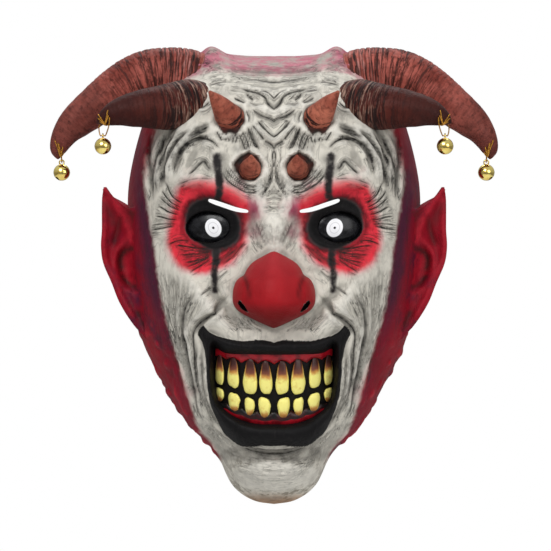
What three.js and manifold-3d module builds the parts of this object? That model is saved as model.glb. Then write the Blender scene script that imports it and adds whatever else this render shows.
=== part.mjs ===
// Devil-clown carnival mask: a hollow latex face with moulded ears and nose, four curved horns
// that each carry a jingle bell on a thread tie, four small brow horns, two rows of teeth and two eyes.
// Millimetres, +Z up. The face looks along -Y. +X is on the right as seen from the front.
// The origin is the middle of the open back, level with the sight slits, where a head goes in.
import * as THREE from "three";
import { mergeVertices } from "three/addons/utils/BufferGeometryUtils.js";
import Module from "manifold-3d";

const wasm = await Module();
wasm.setup();

// Driving dimensions
const WALL = 2.4; // latex wall of the face
const SEAT_GAP = 0.3; // clearance between two pieces that meet
const FACE_DEPTH = 116; // rim plane to the plain front of the face
const FACE_FULLNESS = 2.4; // 2 is an ellipse in section, more is squarer
const JAW_FULLNESS = 3.4; // the same for the chin
const JAW_FROM_ANGLE = 110; // degrees from the crown where the jaw starts to get fuller
const FACE_MIDDLE_Z = -40; // height that the face's outline is measured round
const FACE_COLUMNS = 26; // even, so that a column runs down the middle
const FACE_ROWS = 32;
const MIDDLE_CROWDING = 1.15; // 1 spreads the columns evenly, more crowds them towards the middle
const RIM_CROWDING = 0.6; // 0 spreads the rows evenly seen from the front, 1 evenly along the wall
const RELIEF_FADES_FROM = 0.86; // share of the way to the rim
const JAW_RISE = 30; // how far the throat edge lies above the chin
const THROAT_DEPTH = 55; // the throat starts to rise this far in front of the rim
const CHIN_Z = -218;
const JAW_Z = -120;
const EAR_WALL = 3.2;
const LIP_RADIUS = 4;
const LIP_OVERHANG = 1; // how far the lips lean in over the opening before it is cut
const MOUTH_FLOOR_RADIUS = 58; // the floor is part of a barrel that leans back
const MOUTH_FLOOR_Y = -109; // the barrel's foremost point at the middle of the mouth
const MOUTH_LEAN = 14; // degrees
const MOUTH_MIDDLE_Z = -129;
const GUM_THICKNESS = 4;
const SLIT_X = 32.8;
const SLIT_Z = 0.6;
const SLIT_LENGTH = 29;
const SLIT_HEIGHT = 3.2;
const SLIT_SLOPE = 0.27; // rise over run, up towards the temple
const EYE_X = 45.4;
const EYE_Z = -14;
const EYE_SEAT_Y = -95;
const EYE_HALF_WIDTH = 16.5;
const EYE_HALF_HEIGHT = 11.5;
const EYE_BULGE = 5;
const EYE_SEAT_FRONT = 2; // straight side of the eye before and behind its seat
const EYE_SEAT_BACK = 6;
const EYE_TURN = 17; // degrees that the eye turns out to the side
const NOSTRIL_X = 22.5;
const NOSTRIL_Y = -133;
const NOSTRIL_Z = -70;
const NOSTRIL_HALF_WIDTH = 5.4;
const NOSTRIL_HALF_HEIGHT = 2.8;
const NOSTRIL_DEPTH = 10;
const NOSTRIL_TURN = -35; // degrees, the outer end up
const HORN_RIB = 0.03; // height of a rib as a share of the horn's radius
const RIBS_FADE_FROM = 0.55; // share of the way to the tip
const RIBS_FADE_TO = 0.8;
const BELL_RADIUS = 6;
const BELL_WALL = 0.7;
const BELL_SLOT = 1.5;
const BELL_SLOT_TOP = 0.9; // below the bell's middle
const BELL_SLOT_TURN = 50; // degrees from the eye's wire
const BELL_SIDES = 9;
const BELL_EYE_RADIUS = 1.7; // middle of the eye's wire
const BELL_EYE_WIRE = 0.5;
const TIE_RADIUS = 0.45;
const TIE_STEPS = 16;
const TIE_SIDES = 4;
const TIE_CLEARANCE = 0.1; // between the tie and the bell's eye
const BEYOND = 60; // a cutter reaches this far past what it cuts

// Rows of numbers under named columns, as objects.
function table(columns, rows) {
  return rows.map((row) => Object.fromEntries(columns.map((name, i) => [name, row[i]])));
}

// Outline of the face from the front: half the width at each height, from the crown to the chin.
const FACE_OUTLINE = table(
  ["z", "half"],
  [
    [109, 0],
    [112, 40],
    [107, 66],
    [98, 78],
    [85, 88],
    [57, 97],
    [23, 105],
    [-20, 106],
    [-66, 101],
    [-102, 91],
    [-124, 79],
    [-158, 62],
    [-167, 53],
    [-184, 38],
    [-204, 29],
    [-215, 15],
    [-218, 0],
  ],
);

// Round swells and dents of the face: place, reach to each side, turn in degrees, and lift to the front.
const SWELLS = table(
  ["name", "x", "z", "reachX", "reachZ", "turn", "lift"],
  [
    ["forehead_boss", 40, 74, 26, 24, 0, 5],
    ["temple_fold_upper", 66, 52, 7, 26, 24, 3],
    ["temple_groove", 57, 42, 4, 22, 20, -3],
    ["brow_ridge", 46, 15, 27, 8, 20, 9],
    ["frown_ridge", 10, 8, 5, 22, -8, 4],
    ["eye_socket", 45, -14, 21, 14, 0, -13],
    ["nose_bridge", 0, -16, 9, 22, 0, 8],
    ["cheekbone", 68, -52, 20, 18, 0, 6],
    ["cheek_fold", 46, -74, 7, 22, -38, 6],
    ["cheek_groove", 36, -70, 4, 18, -42, -4],
    ["cheek_hollow", 74, -112, 12, 30, 12, -6],
    ["mouth_barrel", 0, -122, 52, 46, 0, 9],
    ["chin_crease", 0, -178, 34, 5, 0, -5],
    ["chin_ball", 0, -194, 24, 15, 0, 13],
  ],
);

// Chevron folds across the forehead: height at the middle, rise to each side, and depth.
const CHEVRONS = table(
  ["z", "rise", "lift"],
  [
    [82, 6, 2],
    [66, 14, 2.6],
    [50, 20, 2.6],
  ],
);
const CHEVRON_REACH_X = 30;
const CHEVRON_REACH_Z = 5;

// The round nose: half the width and the height over the face at each level, top first.
const NOSE = table(
  ["z", "half", "lift"],
  [
    [-24, 4, 4],
    [-34, 12, 13],
    [-46, 21, 26],
    [-56, 27, 33],
    [-64, 30, 36],
    [-72, 29.5, 34],
    [-79, 24, 24],
    [-86, 12, 8],
  ],
);
const NOSE_SIDES = 14;
const NOSE_ROOT = 10; // how far the nose's rings start behind the face

// The mouth's opening inside the lips: upper and lower edge at each distance from the middle.
const MOUTH = table(
  ["x", "top", "foot"],
  [
    [0, -103, -157],
    [14, -103, -156],
    [30, -101, -150],
    [39, -98, -140],
    [44, -97, -122],
  ],
);

const UPPER_TEETH = table(
  ["x", "half", "top", "foot"],
  [
    [6.6, 4.8, -110, -133.6],
    [17.7, 5.1, -108, -133.6],
    [29.8, 4.2, -107, -129],
    [39.2, 3.2, -105, -127],
  ],
);
const LOWER_TEETH = table(
  ["x", "half", "top", "foot"],
  [
    [7.5, 4.6, -136.4, -152],
    [18, 3.8, -136.4, -150],
    [29, 4.4, -133, -147],
    [38.6, 3.1, -129.5, -140.5],
  ],
);
const TOOTH_THICKNESS = 4.2;
const GUM_HEIGHT = 9;
const UPPER_GUM_HALF = 42;
const LOWER_GUM_HALF = 38.5;
const GUM_MARGIN = 0.6; // clear of the mouth's edge

// Each horn is rings along a curve, from the root inside the head to the tip.
const BACK_HORN = table(
  ["x", "y", "z", "radius"],
  [
    [40, -34, 84, 15],
    [59, -38, 95, 19.5],
    [87, -40, 97, 18.7],
    [110, -42, 88, 17],
    [139, -44, 66, 13.2],
    [149, -45, 56.5, 10.4],
    [154.5, -45, 47.5, 7.8],
    [156.5, -45, 40.5, 5.2],
    [156.3, -45, 37.2, 2],
  ],
);
const FRONT_HORN = table(
  ["x", "y", "z", "radius"],
  [
    [44, -56, 76, 14],
    [58, -72, 75, 18],
    [78.5, -82, 72.5, 16.6],
    [96.5, -88, 71.3, 13.7],
    [111, -91, 68.8, 10.4],
    [120.2, -92, 65.2, 6.8],
    [125, -92, 62.6, 3.8],
    [126.5, -92, 61.6, 1.6],
  ],
);
const BROW_HORN = table(
  ["x", "y", "z", "radius"],
  [
    [29, -74, 58, 10],
    [31, -90, 63, 11.5],
    [35, -98, 69, 9.2],
    [41, -103, 77, 5.4],
    [46, -106, 83, 1.4],
  ],
);
const BROW_STUB = table(
  ["x", "y", "z", "radius"],
  [
    [17, -92, 24, 7],
    [17, -106, 27, 8.4],
    [16.8, -114, 30, 6.6],
    [16.4, -119, 34, 3.6],
    [16.2, -121, 37, 1.2],
  ],
);

// The pointed ear, tip first: outer and inner edge, their depths, and how far the middle is cupped back.
const EAR = table(
  ["z", "outer", "inner", "outerY", "innerY", "cup"],
  [
    [15, 122, 120, -30, -32, 0],
    [8, 124, 112, -31, -40, 1.5],
    [-2, 124, 96, -33, -52, 5],
    [-16, 124, 90, -34, -58, 9],
    [-28, 125, 88, -35, -62, 12],
    [-40, 123, 87, -36, -64, 14],
    [-54, 117, 86, -38, -64, 12],
    [-68, 111, 85, -40, -62, 7],
    [-82, 102, 84, -42, -58, 3],
    [-96, 92, 83, -44, -54, 0],
  ],
);
const EAR_COLUMNS = 5;
const EAR_ROLL = 0.35; // height of the rolled edge as a share of the cup
const EAR_ROLL_AT = 0.9; // share of the way to the outer edge
const EAR_ROLL_WIDTH = 0.12;

// Thread ties, each a closed loop through a horn tip and a bell's eye.
// The first point lies inside the horn and the lowest stretch runs along the bell's pivot.
const BACK_BELL = new THREE.Vector3(153.6, -45, 26);
const FRONT_BELL = new THREE.Vector3(123, -91.5, 44.4);
const BELL_EYE_LIFT = BELL_RADIUS + BELL_EYE_RADIUS - BELL_EYE_WIRE;
const PIVOT_LIFT = BELL_EYE_LIFT + BELL_EYE_RADIUS - BELL_EYE_WIRE - TIE_RADIUS - TIE_CLEARANCE;
const BACK_PIVOT_Z = BACK_BELL.z + PIVOT_LIFT;
const FRONT_PIVOT_Z = FRONT_BELL.z + PIVOT_LIFT;
const BACK_TIE = table(
  ["x", "y", "z"],
  [
    [155.6, -45, 47],
    [155.6, -53.2, 46],
    [154.2, -51.2, 40],
    [153.6, -47, BACK_PIVOT_Z],
    [153.6, -45, BACK_PIVOT_Z],
    [153.6, -43, BACK_PIVOT_Z],
    [154.2, -38.8, 40],
    [155.6, -36.8, 46],
  ],
);
const FRONT_TIE = table(
  ["x", "y", "z"],
  [
    [119, -92, 65],
    [118.2, -100, 64.4],
    [118.6, -97.6, 59],
    [121, -91.5, FRONT_PIVOT_Z],
    [123, -91.5, FRONT_PIVOT_Z],
    [125, -91.5, FRONT_PIVOT_Z],
    [125.6, -87, 59],
    [120.4, -84, 64.4],
  ],
);

const LATEX_WHITE = new THREE.MeshStandardMaterial({ color: 0xcfcac0, roughness: 0.6, metalness: 0 });
const HORN_BROWN = new THREE.MeshStandardMaterial({ color: 0x7a3b30, roughness: 0.65, metalness: 0 });
const BROW_TAN = new THREE.MeshStandardMaterial({ color: 0x9c5b42, roughness: 0.6, metalness: 0 });
const TOOTH_YELLOW = new THREE.MeshStandardMaterial({ color: 0xd8c860, roughness: 0.4, metalness: 0 });
const EYE_BLACK = new THREE.MeshStandardMaterial({ color: 0x15161a, roughness: 0.2, metalness: 0 });
const BELL_GOLD = new THREE.MeshStandardMaterial({ color: 0xe0c040, roughness: 0.15, metalness: 1 });
const THREAD_GOLD = new THREE.MeshStandardMaterial({ color: 0xb98a35, roughness: 0.5, metalness: 0.4 });

// Smooth curve through a table's rows: one column against another that rises or falls steadily.
function curveThrough(rows, by, of) {
  const sorted = [...rows].sort((a, b) => a[by] - b[by]);
  const slopeAt = (i) => {
    const before = sorted[Math.max(i - 1, 0)];
    const after = sorted[Math.min(i + 1, sorted.length - 1)];
    return (after[of] - before[of]) / (after[by] - before[by]);
  };
  return (value) => {
    const last = sorted.length - 1;
    if (value <= sorted[0][by]) return sorted[0][of];
    if (value >= sorted[last][by]) return sorted[last][of];
    const i = sorted.findIndex((row) => row[by] > value) - 1;
    const span = sorted[i + 1][by] - sorted[i][by];
    const t = (value - sorted[i][by]) / span;
    const start = sorted[i][of];
    const end = sorted[i + 1][of];
    const bend = slopeAt(i) * span * t * (1 - t) ** 2 - slopeAt(i + 1) * span * t * t * (1 - t);
    return start + (end - start) * t * t * (3 - 2 * t) + bend;
  };
}

// Solids and geometries
function solidFrom(geometry) {
  const bare = new THREE.BufferGeometry();
  bare.setAttribute("position", geometry.getAttribute("position"));
  if (geometry.index) bare.setIndex(geometry.index);
  const merged = mergeVertices(bare, 1e-3);
  const mesh = new wasm.Mesh({
    numProp: 3,
    vertProperties: new Float32Array(merged.getAttribute("position").array),
    triVerts: new Uint32Array(merged.index.array),
  });
  mesh.merge();
  return new wasm.Manifold(mesh);
}

function geometryFrom(solid) {
  const mesh = solid.getMesh();
  const geometry = new THREE.BufferGeometry();
  geometry.setAttribute("position", new THREE.BufferAttribute(mesh.vertProperties.slice(), 3));
  geometry.setIndex(new THREE.BufferAttribute(mesh.triVerts.slice(), 1));
  geometry.computeVertexNormals();
  return geometry;
}

function geometryOf(points, triangles) {
  const geometry = new THREE.BufferGeometry().setFromPoints(points);
  geometry.setIndex(triangles);
  return geometry;
}

// Triangles between two rows of points of the same length. closed joins the last point to the first.
function stripBetween(first, second, length, closed) {
  const triangles = [];
  const steps = closed ? length : length - 1;
  for (let i = 0; i < steps; i++) {
    const next = (i + 1) % length;
    triangles.push(first + i, first + next, second + next, first + i, second + next, second + i);
  }
  return triangles;
}

// The face's outer form
const outlineRows = FACE_OUTLINE.map(({ z, half }) => ({
  angle: Math.atan2(half, z - FACE_MIDDLE_Z),
  radius: Math.hypot(half, z - FACE_MIDDLE_Z),
}));
const outlineRadius = curveThrough(outlineRows, "angle", "radius");

function swellAt({ x: atX, z: atZ, reachX, reachZ, turn, lift }, x, z) {
  const angle = THREE.MathUtils.degToRad(turn);
  const across = (x - atX) * Math.cos(angle) + (z - atZ) * Math.sin(angle);
  const along = (z - atZ) * Math.cos(angle) - (x - atX) * Math.sin(angle);
  return lift * Math.exp(-((across / reachX) ** 2) - (along / reachZ) ** 2);
}

function chevronAt({ z: atZ, rise, lift }, x, z) {
  const foldZ = atZ + rise * (x / CHEVRON_REACH_X);
  return lift * Math.exp(-((x / CHEVRON_REACH_X) ** 2) - ((z - foldZ) / CHEVRON_REACH_Z) ** 2);
}

// How far the face stands forward of its plain form at a place seen from the front.
function reliefAt(x, z) {
  const side = Math.abs(x);
  const swells = SWELLS.reduce((sum, swell) => sum + swellAt(swell, side, z), 0);
  const chevrons = CHEVRONS.reduce((sum, chevron) => sum + chevronAt(chevron, side, z), 0);
  return swells + chevrons;
}

// A point of the face. across and up run from -1 to 1 over a square that is stretched to the outline.
// relief is 1 for the real face and 0 for its plain form.
function facePoint(across, up, relief) {
  const discX = across * Math.sqrt(1 - (up * up) / 2);
  const discZ = up * Math.sqrt(1 - (across * across) / 2);
  const ring = Math.min(Math.hypot(discX, discZ), 1);
  const angle = Math.atan2(discX, discZ);
  const share = THREE.MathUtils.lerp(ring, Math.sin((ring * Math.PI) / 2), RIM_CROWDING);
  const radius = share * outlineRadius(Math.abs(angle));
  const x = radius * Math.sin(angle);
  const z = FACE_MIDDLE_Z + radius * Math.cos(angle);
  const fade = 1 - THREE.MathUtils.smoothstep(share, RELIEF_FADES_FROM, 1);
  const y = -(plainDepth(share, angle) + relief * reliefAt(x, z) * fade);
  const behind = THREE.MathUtils.smoothstep(y, -THROAT_DEPTH, 0);
  const below = 1 - THREE.MathUtils.smoothstep(z, CHIN_Z, JAW_Z);
  return new THREE.Vector3(x, y, z + JAW_RISE * behind * below);
}

// Depth of the plain form at a share of the way from its middle to its outline.
// angle is the direction from the crown.
function plainDepth(share, angle) {
  const jawFrom = THREE.MathUtils.degToRad(JAW_FROM_ANGLE);
  const jaw = THREE.MathUtils.smoothstep(Math.abs(angle), jawFrom, Math.PI);
  const fullness = THREE.MathUtils.lerp(FACE_FULLNESS, JAW_FULLNESS, jaw);
  return FACE_DEPTH * Math.max(1 - share ** fullness, 0) ** (1 / fullness);
}

// Depth of the face at a place seen from the front, away from the rim.
function surfaceDepth(x, z) {
  const angle = Math.atan2(Math.abs(x), z - FACE_MIDDLE_Z);
  return plainDepth(Math.hypot(x, z - FACE_MIDDLE_Z) / outlineRadius(angle), angle) + reliefAt(x, z);
}

// The outer grid, its triangles, the loop of points round its rim, and the plain form's outward normals.
function faceGrid() {
  const points = [];
  const plain = [];
  const triangles = [];
  const width = FACE_COLUMNS + 1;
  for (let row = 0; row <= FACE_ROWS; row++)
    for (let column = 0; column <= FACE_COLUMNS; column++) {
      const even = (2 * column) / FACE_COLUMNS - 1;
      const across = Math.sign(even) * Math.abs(even) ** MIDDLE_CROWDING;
      const up = (2 * row) / FACE_ROWS - 1;
      points.push(facePoint(across, up, 1));
      plain.push(facePoint(across, up, 0));
    }
  for (let row = 0; row < FACE_ROWS; row++)
    for (let column = 0; column < FACE_COLUMNS; column++) {
      const low = row * width + column;
      const high = low + width;
      if (column < FACE_COLUMNS / 2) triangles.push(low, low + 1, high, low + 1, high + 1, high);
      else triangles.push(low, low + 1, high + 1, low, high + 1, high);
    }
  const rim = [];
  for (let column = 0; column < FACE_COLUMNS; column++) rim.push(column);
  for (let row = 0; row < FACE_ROWS; row++) rim.push(row * width + FACE_COLUMNS);
  for (let column = FACE_COLUMNS; column > 0; column--) rim.push(FACE_ROWS * width + column);
  for (let row = FACE_ROWS; row > 0; row--) rim.push(row * width);
  const geometry = geometryOf(plain, triangles);
  geometry.computeVertexNormals();
  const normal = geometry.getAttribute("normal");
  const normals = plain.map((_, i) => new THREE.Vector3().fromBufferAttribute(normal, i));
  for (const i of rim) normals[i].setY(0).normalize();
  return { points, triangles, rim, normals };
}

// The volume behind the outer face, moved out along the plain normals and closed by a flat back.
function faceVolume(grid, offset, backY) {
  const points = grid.points.map((p, i) => p.clone().addScaledVector(grid.normals[i], offset));
  const triangles = [...grid.triangles];
  const backStart = points.length;
  for (const i of grid.rim) points.push(points[i].clone().setY(backY));
  const middle = points.push(new THREE.Vector3(0, backY, FACE_MIDDLE_Z)) - 1;
  grid.rim.forEach((i, k) => {
    const next = (k + 1) % grid.rim.length;
    triangles.push(i, backStart + k, backStart + next, i, backStart + next, grid.rim[next]);
    triangles.push(backStart + k, middle, backStart + next);
  });
  return solidFrom(geometryOf(points, triangles));
}

// A flat outline in X and Z, run through along Y between two depths.
function extrudeAlongY(outline, fromY, toY) {
  const shape = new THREE.Shape(outline.map(([x, z]) => new THREE.Vector2(x, z)));
  const geometry = new THREE.ExtrudeGeometry(shape, { depth: toY - fromY, bevelEnabled: false });
  geometry.rotateX(Math.PI / 2).translate(0, toY, 0);
  return solidFrom(geometry);
}

// The face's opening for the mouth, grown by a margin on every side.
function mouthOutline(margin) {
  const right = MOUTH.map(({ x, top }) => [x + margin * (x > 0), top + margin]);
  const rightFoot = MOUTH.map(({ x, foot }) => [x + margin * (x > 0), foot - margin]).reverse();
  const half = [...right.slice(1), ...rightFoot];
  const mirrored = half.slice(0, -1).reverse().map(([x, z]) => [-x, z]);
  return [right[0], ...half, ...mirrored];
}

// The slanted sight slit over an eye, with pointed ends.
function slitCutter(side) {
  const outline = [
    [-SLIT_LENGTH / 2, 0],
    [-SLIT_LENGTH / 4, -SLIT_HEIGHT / 2],
    [SLIT_LENGTH / 4, -SLIT_HEIGHT / 2],
    [SLIT_LENGTH / 2, 0],
    [SLIT_LENGTH / 4, SLIT_HEIGHT / 2],
    [-SLIT_LENGTH / 4, SLIT_HEIGHT / 2],
  ];
  const placed = outline.map(([x, z]) => [SLIT_X + x, SLIT_Z + z + x * SLIT_SLOPE]);
  const sided = side > 0 ? placed : placed.map(([x, z]) => [-x, z]).reverse();
  return extrudeAlongY(sided, -FACE_DEPTH - BEYOND, -BEYOND);
}

// An eye as an oval plug with a domed front, or the straight hole that it sits in.
const EYE_SIDES = 14;
const EYE_DOME_STEPS = 3;

function placeEye(geometry) {
  return geometry.rotateZ(THREE.MathUtils.degToRad(EYE_TURN)).translate(EYE_X, EYE_SEAT_Y, EYE_Z);
}

function eyeHole(side) {
  const hole = new THREE.CylinderGeometry(1, 1, BEYOND, EYE_SIDES);
  hole.rotateY(Math.PI / 2).scale(EYE_HALF_WIDTH, 1, EYE_HALF_HEIGHT);
  return solidFrom(placeEye(hole)).transform(mirrorAcrossX(side));
}

function eyeGeometry() {
  const profile = [new THREE.Vector2(0, -EYE_SEAT_BACK), new THREE.Vector2(1, -EYE_SEAT_BACK)];
  for (let i = 0; i <= EYE_DOME_STEPS; i++) {
    const angle = (i / EYE_DOME_STEPS) * (Math.PI / 2);
    const out = i === EYE_DOME_STEPS ? 0 : Math.cos(angle);
    profile.push(new THREE.Vector2(out, EYE_SEAT_FRONT + EYE_BULGE * Math.sin(angle)));
  }
  const plug = new THREE.LatheGeometry(profile, EYE_SIDES);
  plug.rotateY(Math.PI / 2).scale(EYE_HALF_WIDTH - SEAT_GAP, 1, EYE_HALF_HEIGHT - SEAT_GAP);
  return placeEye(plug.rotateX(Math.PI));
}

// A nostril is a slanted egg-shaped hole low in the nose wing.
function nostrilCutter(side) {
  const egg = new THREE.SphereGeometry(1, 8, 6).scale(NOSTRIL_HALF_WIDTH, NOSTRIL_DEPTH, NOSTRIL_HALF_HEIGHT);
  egg.rotateY(THREE.MathUtils.degToRad(NOSTRIL_TURN)).translate(NOSTRIL_X, NOSTRIL_Y, NOSTRIL_Z);
  return solidFrom(egg).transform(mirrorAcrossX(side));
}

// The nose as oval rings stacked from the bridge to the lip, taken in by a margin for its hollow.
function noseSolid(margin) {
  const points = [];
  const middleZ = (NOSE[0].z + NOSE.at(-1).z) / 2;
  const shrink = 1 - margin / (NOSE[0].z - middleZ);
  for (const { z, half, lift } of NOSE) {
    const rootY = NOSE_ROOT - surfaceDepth(0, z);
    for (let side = 0; side < NOSE_SIDES; side++) {
      const angle = (2 * Math.PI * side) / NOSE_SIDES;
      const reach = Math.max(lift + NOSE_ROOT - margin, 1);
      const x = Math.max(half - margin, 1) * Math.cos(angle);
      const y = rootY + (Math.sin(angle) < 0 ? reach : NOSE_ROOT) * Math.sin(angle);
      points.push(new THREE.Vector3(x, y, middleZ + (z - middleZ) * shrink));
    }
  }
  const triangles = [];
  for (let row = 0; row < NOSE.length - 1; row++)
    triangles.push(...stripBetween((row + 1) * NOSE_SIDES, row * NOSE_SIDES, NOSE_SIDES, true));
  const lastRing = (NOSE.length - 1) * NOSE_SIDES;
  for (let side = 1; side < NOSE_SIDES - 1; side++) {
    triangles.push(0, side, side + 1);
    triangles.push(lastRing, lastRing + side + 1, lastRing + side);
  }
  return solidFrom(geometryOf(points, triangles));
}

// The lips as a soft roll round the mouth's opening.
const LIP_STEPS = 26;
const LIP_SIDES = 5;

function lipSolid() {
  const outline = mouthOutline(LIP_RADIUS - LIP_OVERHANG);
  const points = outline.map(([x, z]) => new THREE.Vector3(x, -surfaceDepth(x, z), z));
  const line = new THREE.CatmullRomCurve3(points, true);
  return solidFrom(new THREE.TubeGeometry(line, LIP_STEPS, LIP_RADIUS, LIP_SIDES, true));
}

// A barrel behind the mouth. Its front is the floor when rise is 0, and stands before it when rise is more.
const BARREL_SIDES = 28;

function mouthBarrel(rise) {
  const radius = MOUTH_FLOOR_RADIUS + rise;
  const barrel = new THREE.CylinderGeometry(radius, radius, 3 * BEYOND, BARREL_SIDES);
  barrel.rotateX(Math.PI / 2).translate(0, MOUTH_FLOOR_RADIUS, 0);
  barrel.rotateX(THREE.MathUtils.degToRad(MOUTH_LEAN)).translate(0, MOUTH_FLOOR_Y, MOUTH_MIDDLE_Z);
  return solidFrom(barrel);
}

function mirrorAcrossX(side) {
  return new THREE.Matrix4().makeScale(side, 1, 1).toArray();
}

// A pointed ear as a cupped leaf, its inner edge sunk in the side of the face.
function earSolid() {
  const points = [];
  const width = EAR_COLUMNS + 1;
  for (const back of [0, EAR_WALL])
    for (const row of EAR)
      for (let column = 0; column < width; column++) {
        const t = column / EAR_COLUMNS;
        const roll = row.cup * EAR_ROLL * Math.exp(-(((t - EAR_ROLL_AT) / EAR_ROLL_WIDTH) ** 2));
        const x = THREE.MathUtils.lerp(row.inner, row.outer, t);
        const y = THREE.MathUtils.lerp(row.innerY, row.outerY, t) + row.cup * Math.sin(Math.PI * t) - roll;
        points.push(new THREE.Vector3(x, y + back, row.z));
      }
  const backStart = EAR.length * width;
  const triangles = [];
  for (let row = 0; row < EAR.length - 1; row++) {
    const here = row * width;
    triangles.push(...stripBetween(here + width, here, width, false));
    triangles.push(...stripBetween(backStart + here, backStart + here + width, width, false));
  }
  const edge = [];
  for (let column = 0; column < EAR_COLUMNS; column++) edge.push(column);
  for (let row = 0; row < EAR.length - 1; row++) edge.push(row * width + EAR_COLUMNS);
  for (let column = EAR_COLUMNS; column > 0; column--) edge.push((EAR.length - 1) * width + column);
  for (let row = EAR.length - 1; row > 0; row--) edge.push(row * width);
  edge.forEach((i, k) => {
    const next = edge[(k + 1) % edge.length];
    triangles.push(i, next, backStart + next, i, backStart + next, backStart + i);
  });
  return solidFrom(geometryOf(points, triangles));
}

// A horn of round rings along a smooth line. Ribs swell the rings evenly along it.
const HORN_SIDES = 8;

function hornSolid(rows, { rings, ribs }) {
  const line = new THREE.CatmullRomCurve3(rows.map(({ x, y, z }) => new THREE.Vector3(x, y, z)));
  const radii = rows.map(({ radius }, i) => ({ place: i / (rows.length - 1), radius }));
  const radiusAt = curveThrough(radii, "place", "radius");
  const frames = line.computeFrenetFrames(rings, false);
  const points = [];
  for (let ring = 0; ring <= rings; ring++) {
    const place = line.getUtoTmapping(ring / rings);
    const ribHeight = HORN_RIB * (1 - THREE.MathUtils.smoothstep(place, RIBS_FADE_FROM, RIBS_FADE_TO));
    const swell = ribs ? 1 + ribHeight * Math.cos(ribs * 2 * Math.PI * (ring / rings)) : 1;
    for (let side = 0; side < HORN_SIDES; side++) {
      const angle = (2 * Math.PI * side) / HORN_SIDES;
      const out = frames.normals[ring].clone().multiplyScalar(Math.cos(angle));
      out.addScaledVector(frames.binormals[ring], Math.sin(angle));
      points.push(line.getPoint(place).addScaledVector(out, radiusAt(place) * swell));
    }
  }
  const triangles = [];
  for (let ring = 0; ring < rings; ring++)
    triangles.push(...stripBetween(ring * HORN_SIDES, (ring + 1) * HORN_SIDES, HORN_SIDES, true));
  const root = points.push(line.getPoint(0)) - 1;
  const tip = points.push(line.getPoint(1)) - 1;
  const lastRing = rings * HORN_SIDES;
  for (let side = 0; side < HORN_SIDES; side++) {
    const next = (side + 1) % HORN_SIDES;
    triangles.push(root, next, side, tip, lastRing + side, lastRing + next);
  }
  return solidFrom(geometryOf(points, triangles));
}

// A closed thread loop through its points.
function loopSolid(rows, radius) {
  const points = rows.map(({ x, y, z }) => new THREE.Vector3(x, y, z));
  const line = new THREE.CatmullRomCurve3(points, true);
  return solidFrom(new THREE.TubeGeometry(line, TIE_STEPS, radius, TIE_SIDES, true));
}

// A hollow jingle bell with a slot across its foot and a wire eye on top, centred on the origin.
// eyeTurn turns the eye's ring about the upright axis.
function bellSolid(eyeTurn) {
  const outer = solidFrom(new THREE.SphereGeometry(BELL_RADIUS, BELL_SIDES, 6).rotateX(Math.PI / 2));
  const inside = new THREE.SphereGeometry(BELL_RADIUS - BELL_WALL, BELL_SIDES, 5);
  const inner = solidFrom(inside.rotateX(Math.PI / 2));
  const slotBox = new THREE.BoxGeometry(BELL_SLOT, 3 * BELL_RADIUS, 2 * BELL_RADIUS);
  slotBox.rotateZ(eyeTurn + THREE.MathUtils.degToRad(BELL_SLOT_TURN));
  const slot = solidFrom(slotBox.translate(0, 0, -BELL_SLOT_TOP - BELL_RADIUS));
  const ring = new THREE.TorusGeometry(BELL_EYE_RADIUS, BELL_EYE_WIRE, 4, 8);
  ring.rotateX(Math.PI / 2).rotateZ(eyeTurn).translate(0, 0, BELL_EYE_LIFT);
  const eye = solidFrom(ring).subtract(inner);
  return outer.subtract(inner).add(eye).subtract(slot);
}

// Gums and teeth as one piece that lies on the mouth's floor.
const GUM_STEPS = 6;

function teethSolid(teeth, isUpper) {
  const gumHalf = isUpper ? UPPER_GUM_HALF : LOWER_GUM_HALF;
  const gumEdge = curveThrough(MOUTH, "x", isUpper ? "top" : "foot");
  const inward = isUpper ? -1 : 1;
  const edge = [];
  for (let i = 0; i <= GUM_STEPS; i++) {
    const x = gumHalf * ((2 * i) / GUM_STEPS - 1);
    edge.push([x, gumEdge(Math.abs(x))]);
  }
  const inner = edge.map(([x, z]) => [x, z + inward * (GUM_HEIGHT + GUM_MARGIN)]).reverse();
  let solid = throughMouth([...edge, ...inner]).intersect(mouthBarrel(SEAT_GAP + GUM_THICKNESS));
  for (const { x, half, top, foot } of teeth)
    for (const side of [-1, 1]) {
      const middle = (top + foot) / 2;
      const reach = MOUTH_FLOOR_RADIUS + SEAT_GAP + GUM_THICKNESS - TOOTH_THICKNESS / 2;
      const lean = Math.tan(THREE.MathUtils.degToRad(MOUTH_LEAN)) * (MOUTH_MIDDLE_Z - middle);
      const y = MOUTH_FLOOR_Y + MOUTH_FLOOR_RADIUS - Math.sqrt(reach * reach - x * x) + lean;
      const tooth = new THREE.SphereGeometry(1, 5, 4).rotateX(Math.PI / 2);
      tooth.scale(half, TOOTH_THICKNESS, (top - foot) / 2);
      tooth.rotateX(THREE.MathUtils.degToRad(MOUTH_LEAN)).translate(side * x, y, middle);
      solid = solid.add(solidFrom(tooth));
    }
  return solid.intersect(throughMouth(mouthOutline(-GUM_MARGIN))).subtract(mouthBarrel(SEAT_GAP));
}

// An outline run through the whole depth of the mouth.
function throughMouth(outline) {
  return extrudeAlongY(outline, -FACE_DEPTH - BEYOND, -BEYOND);
}

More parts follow.
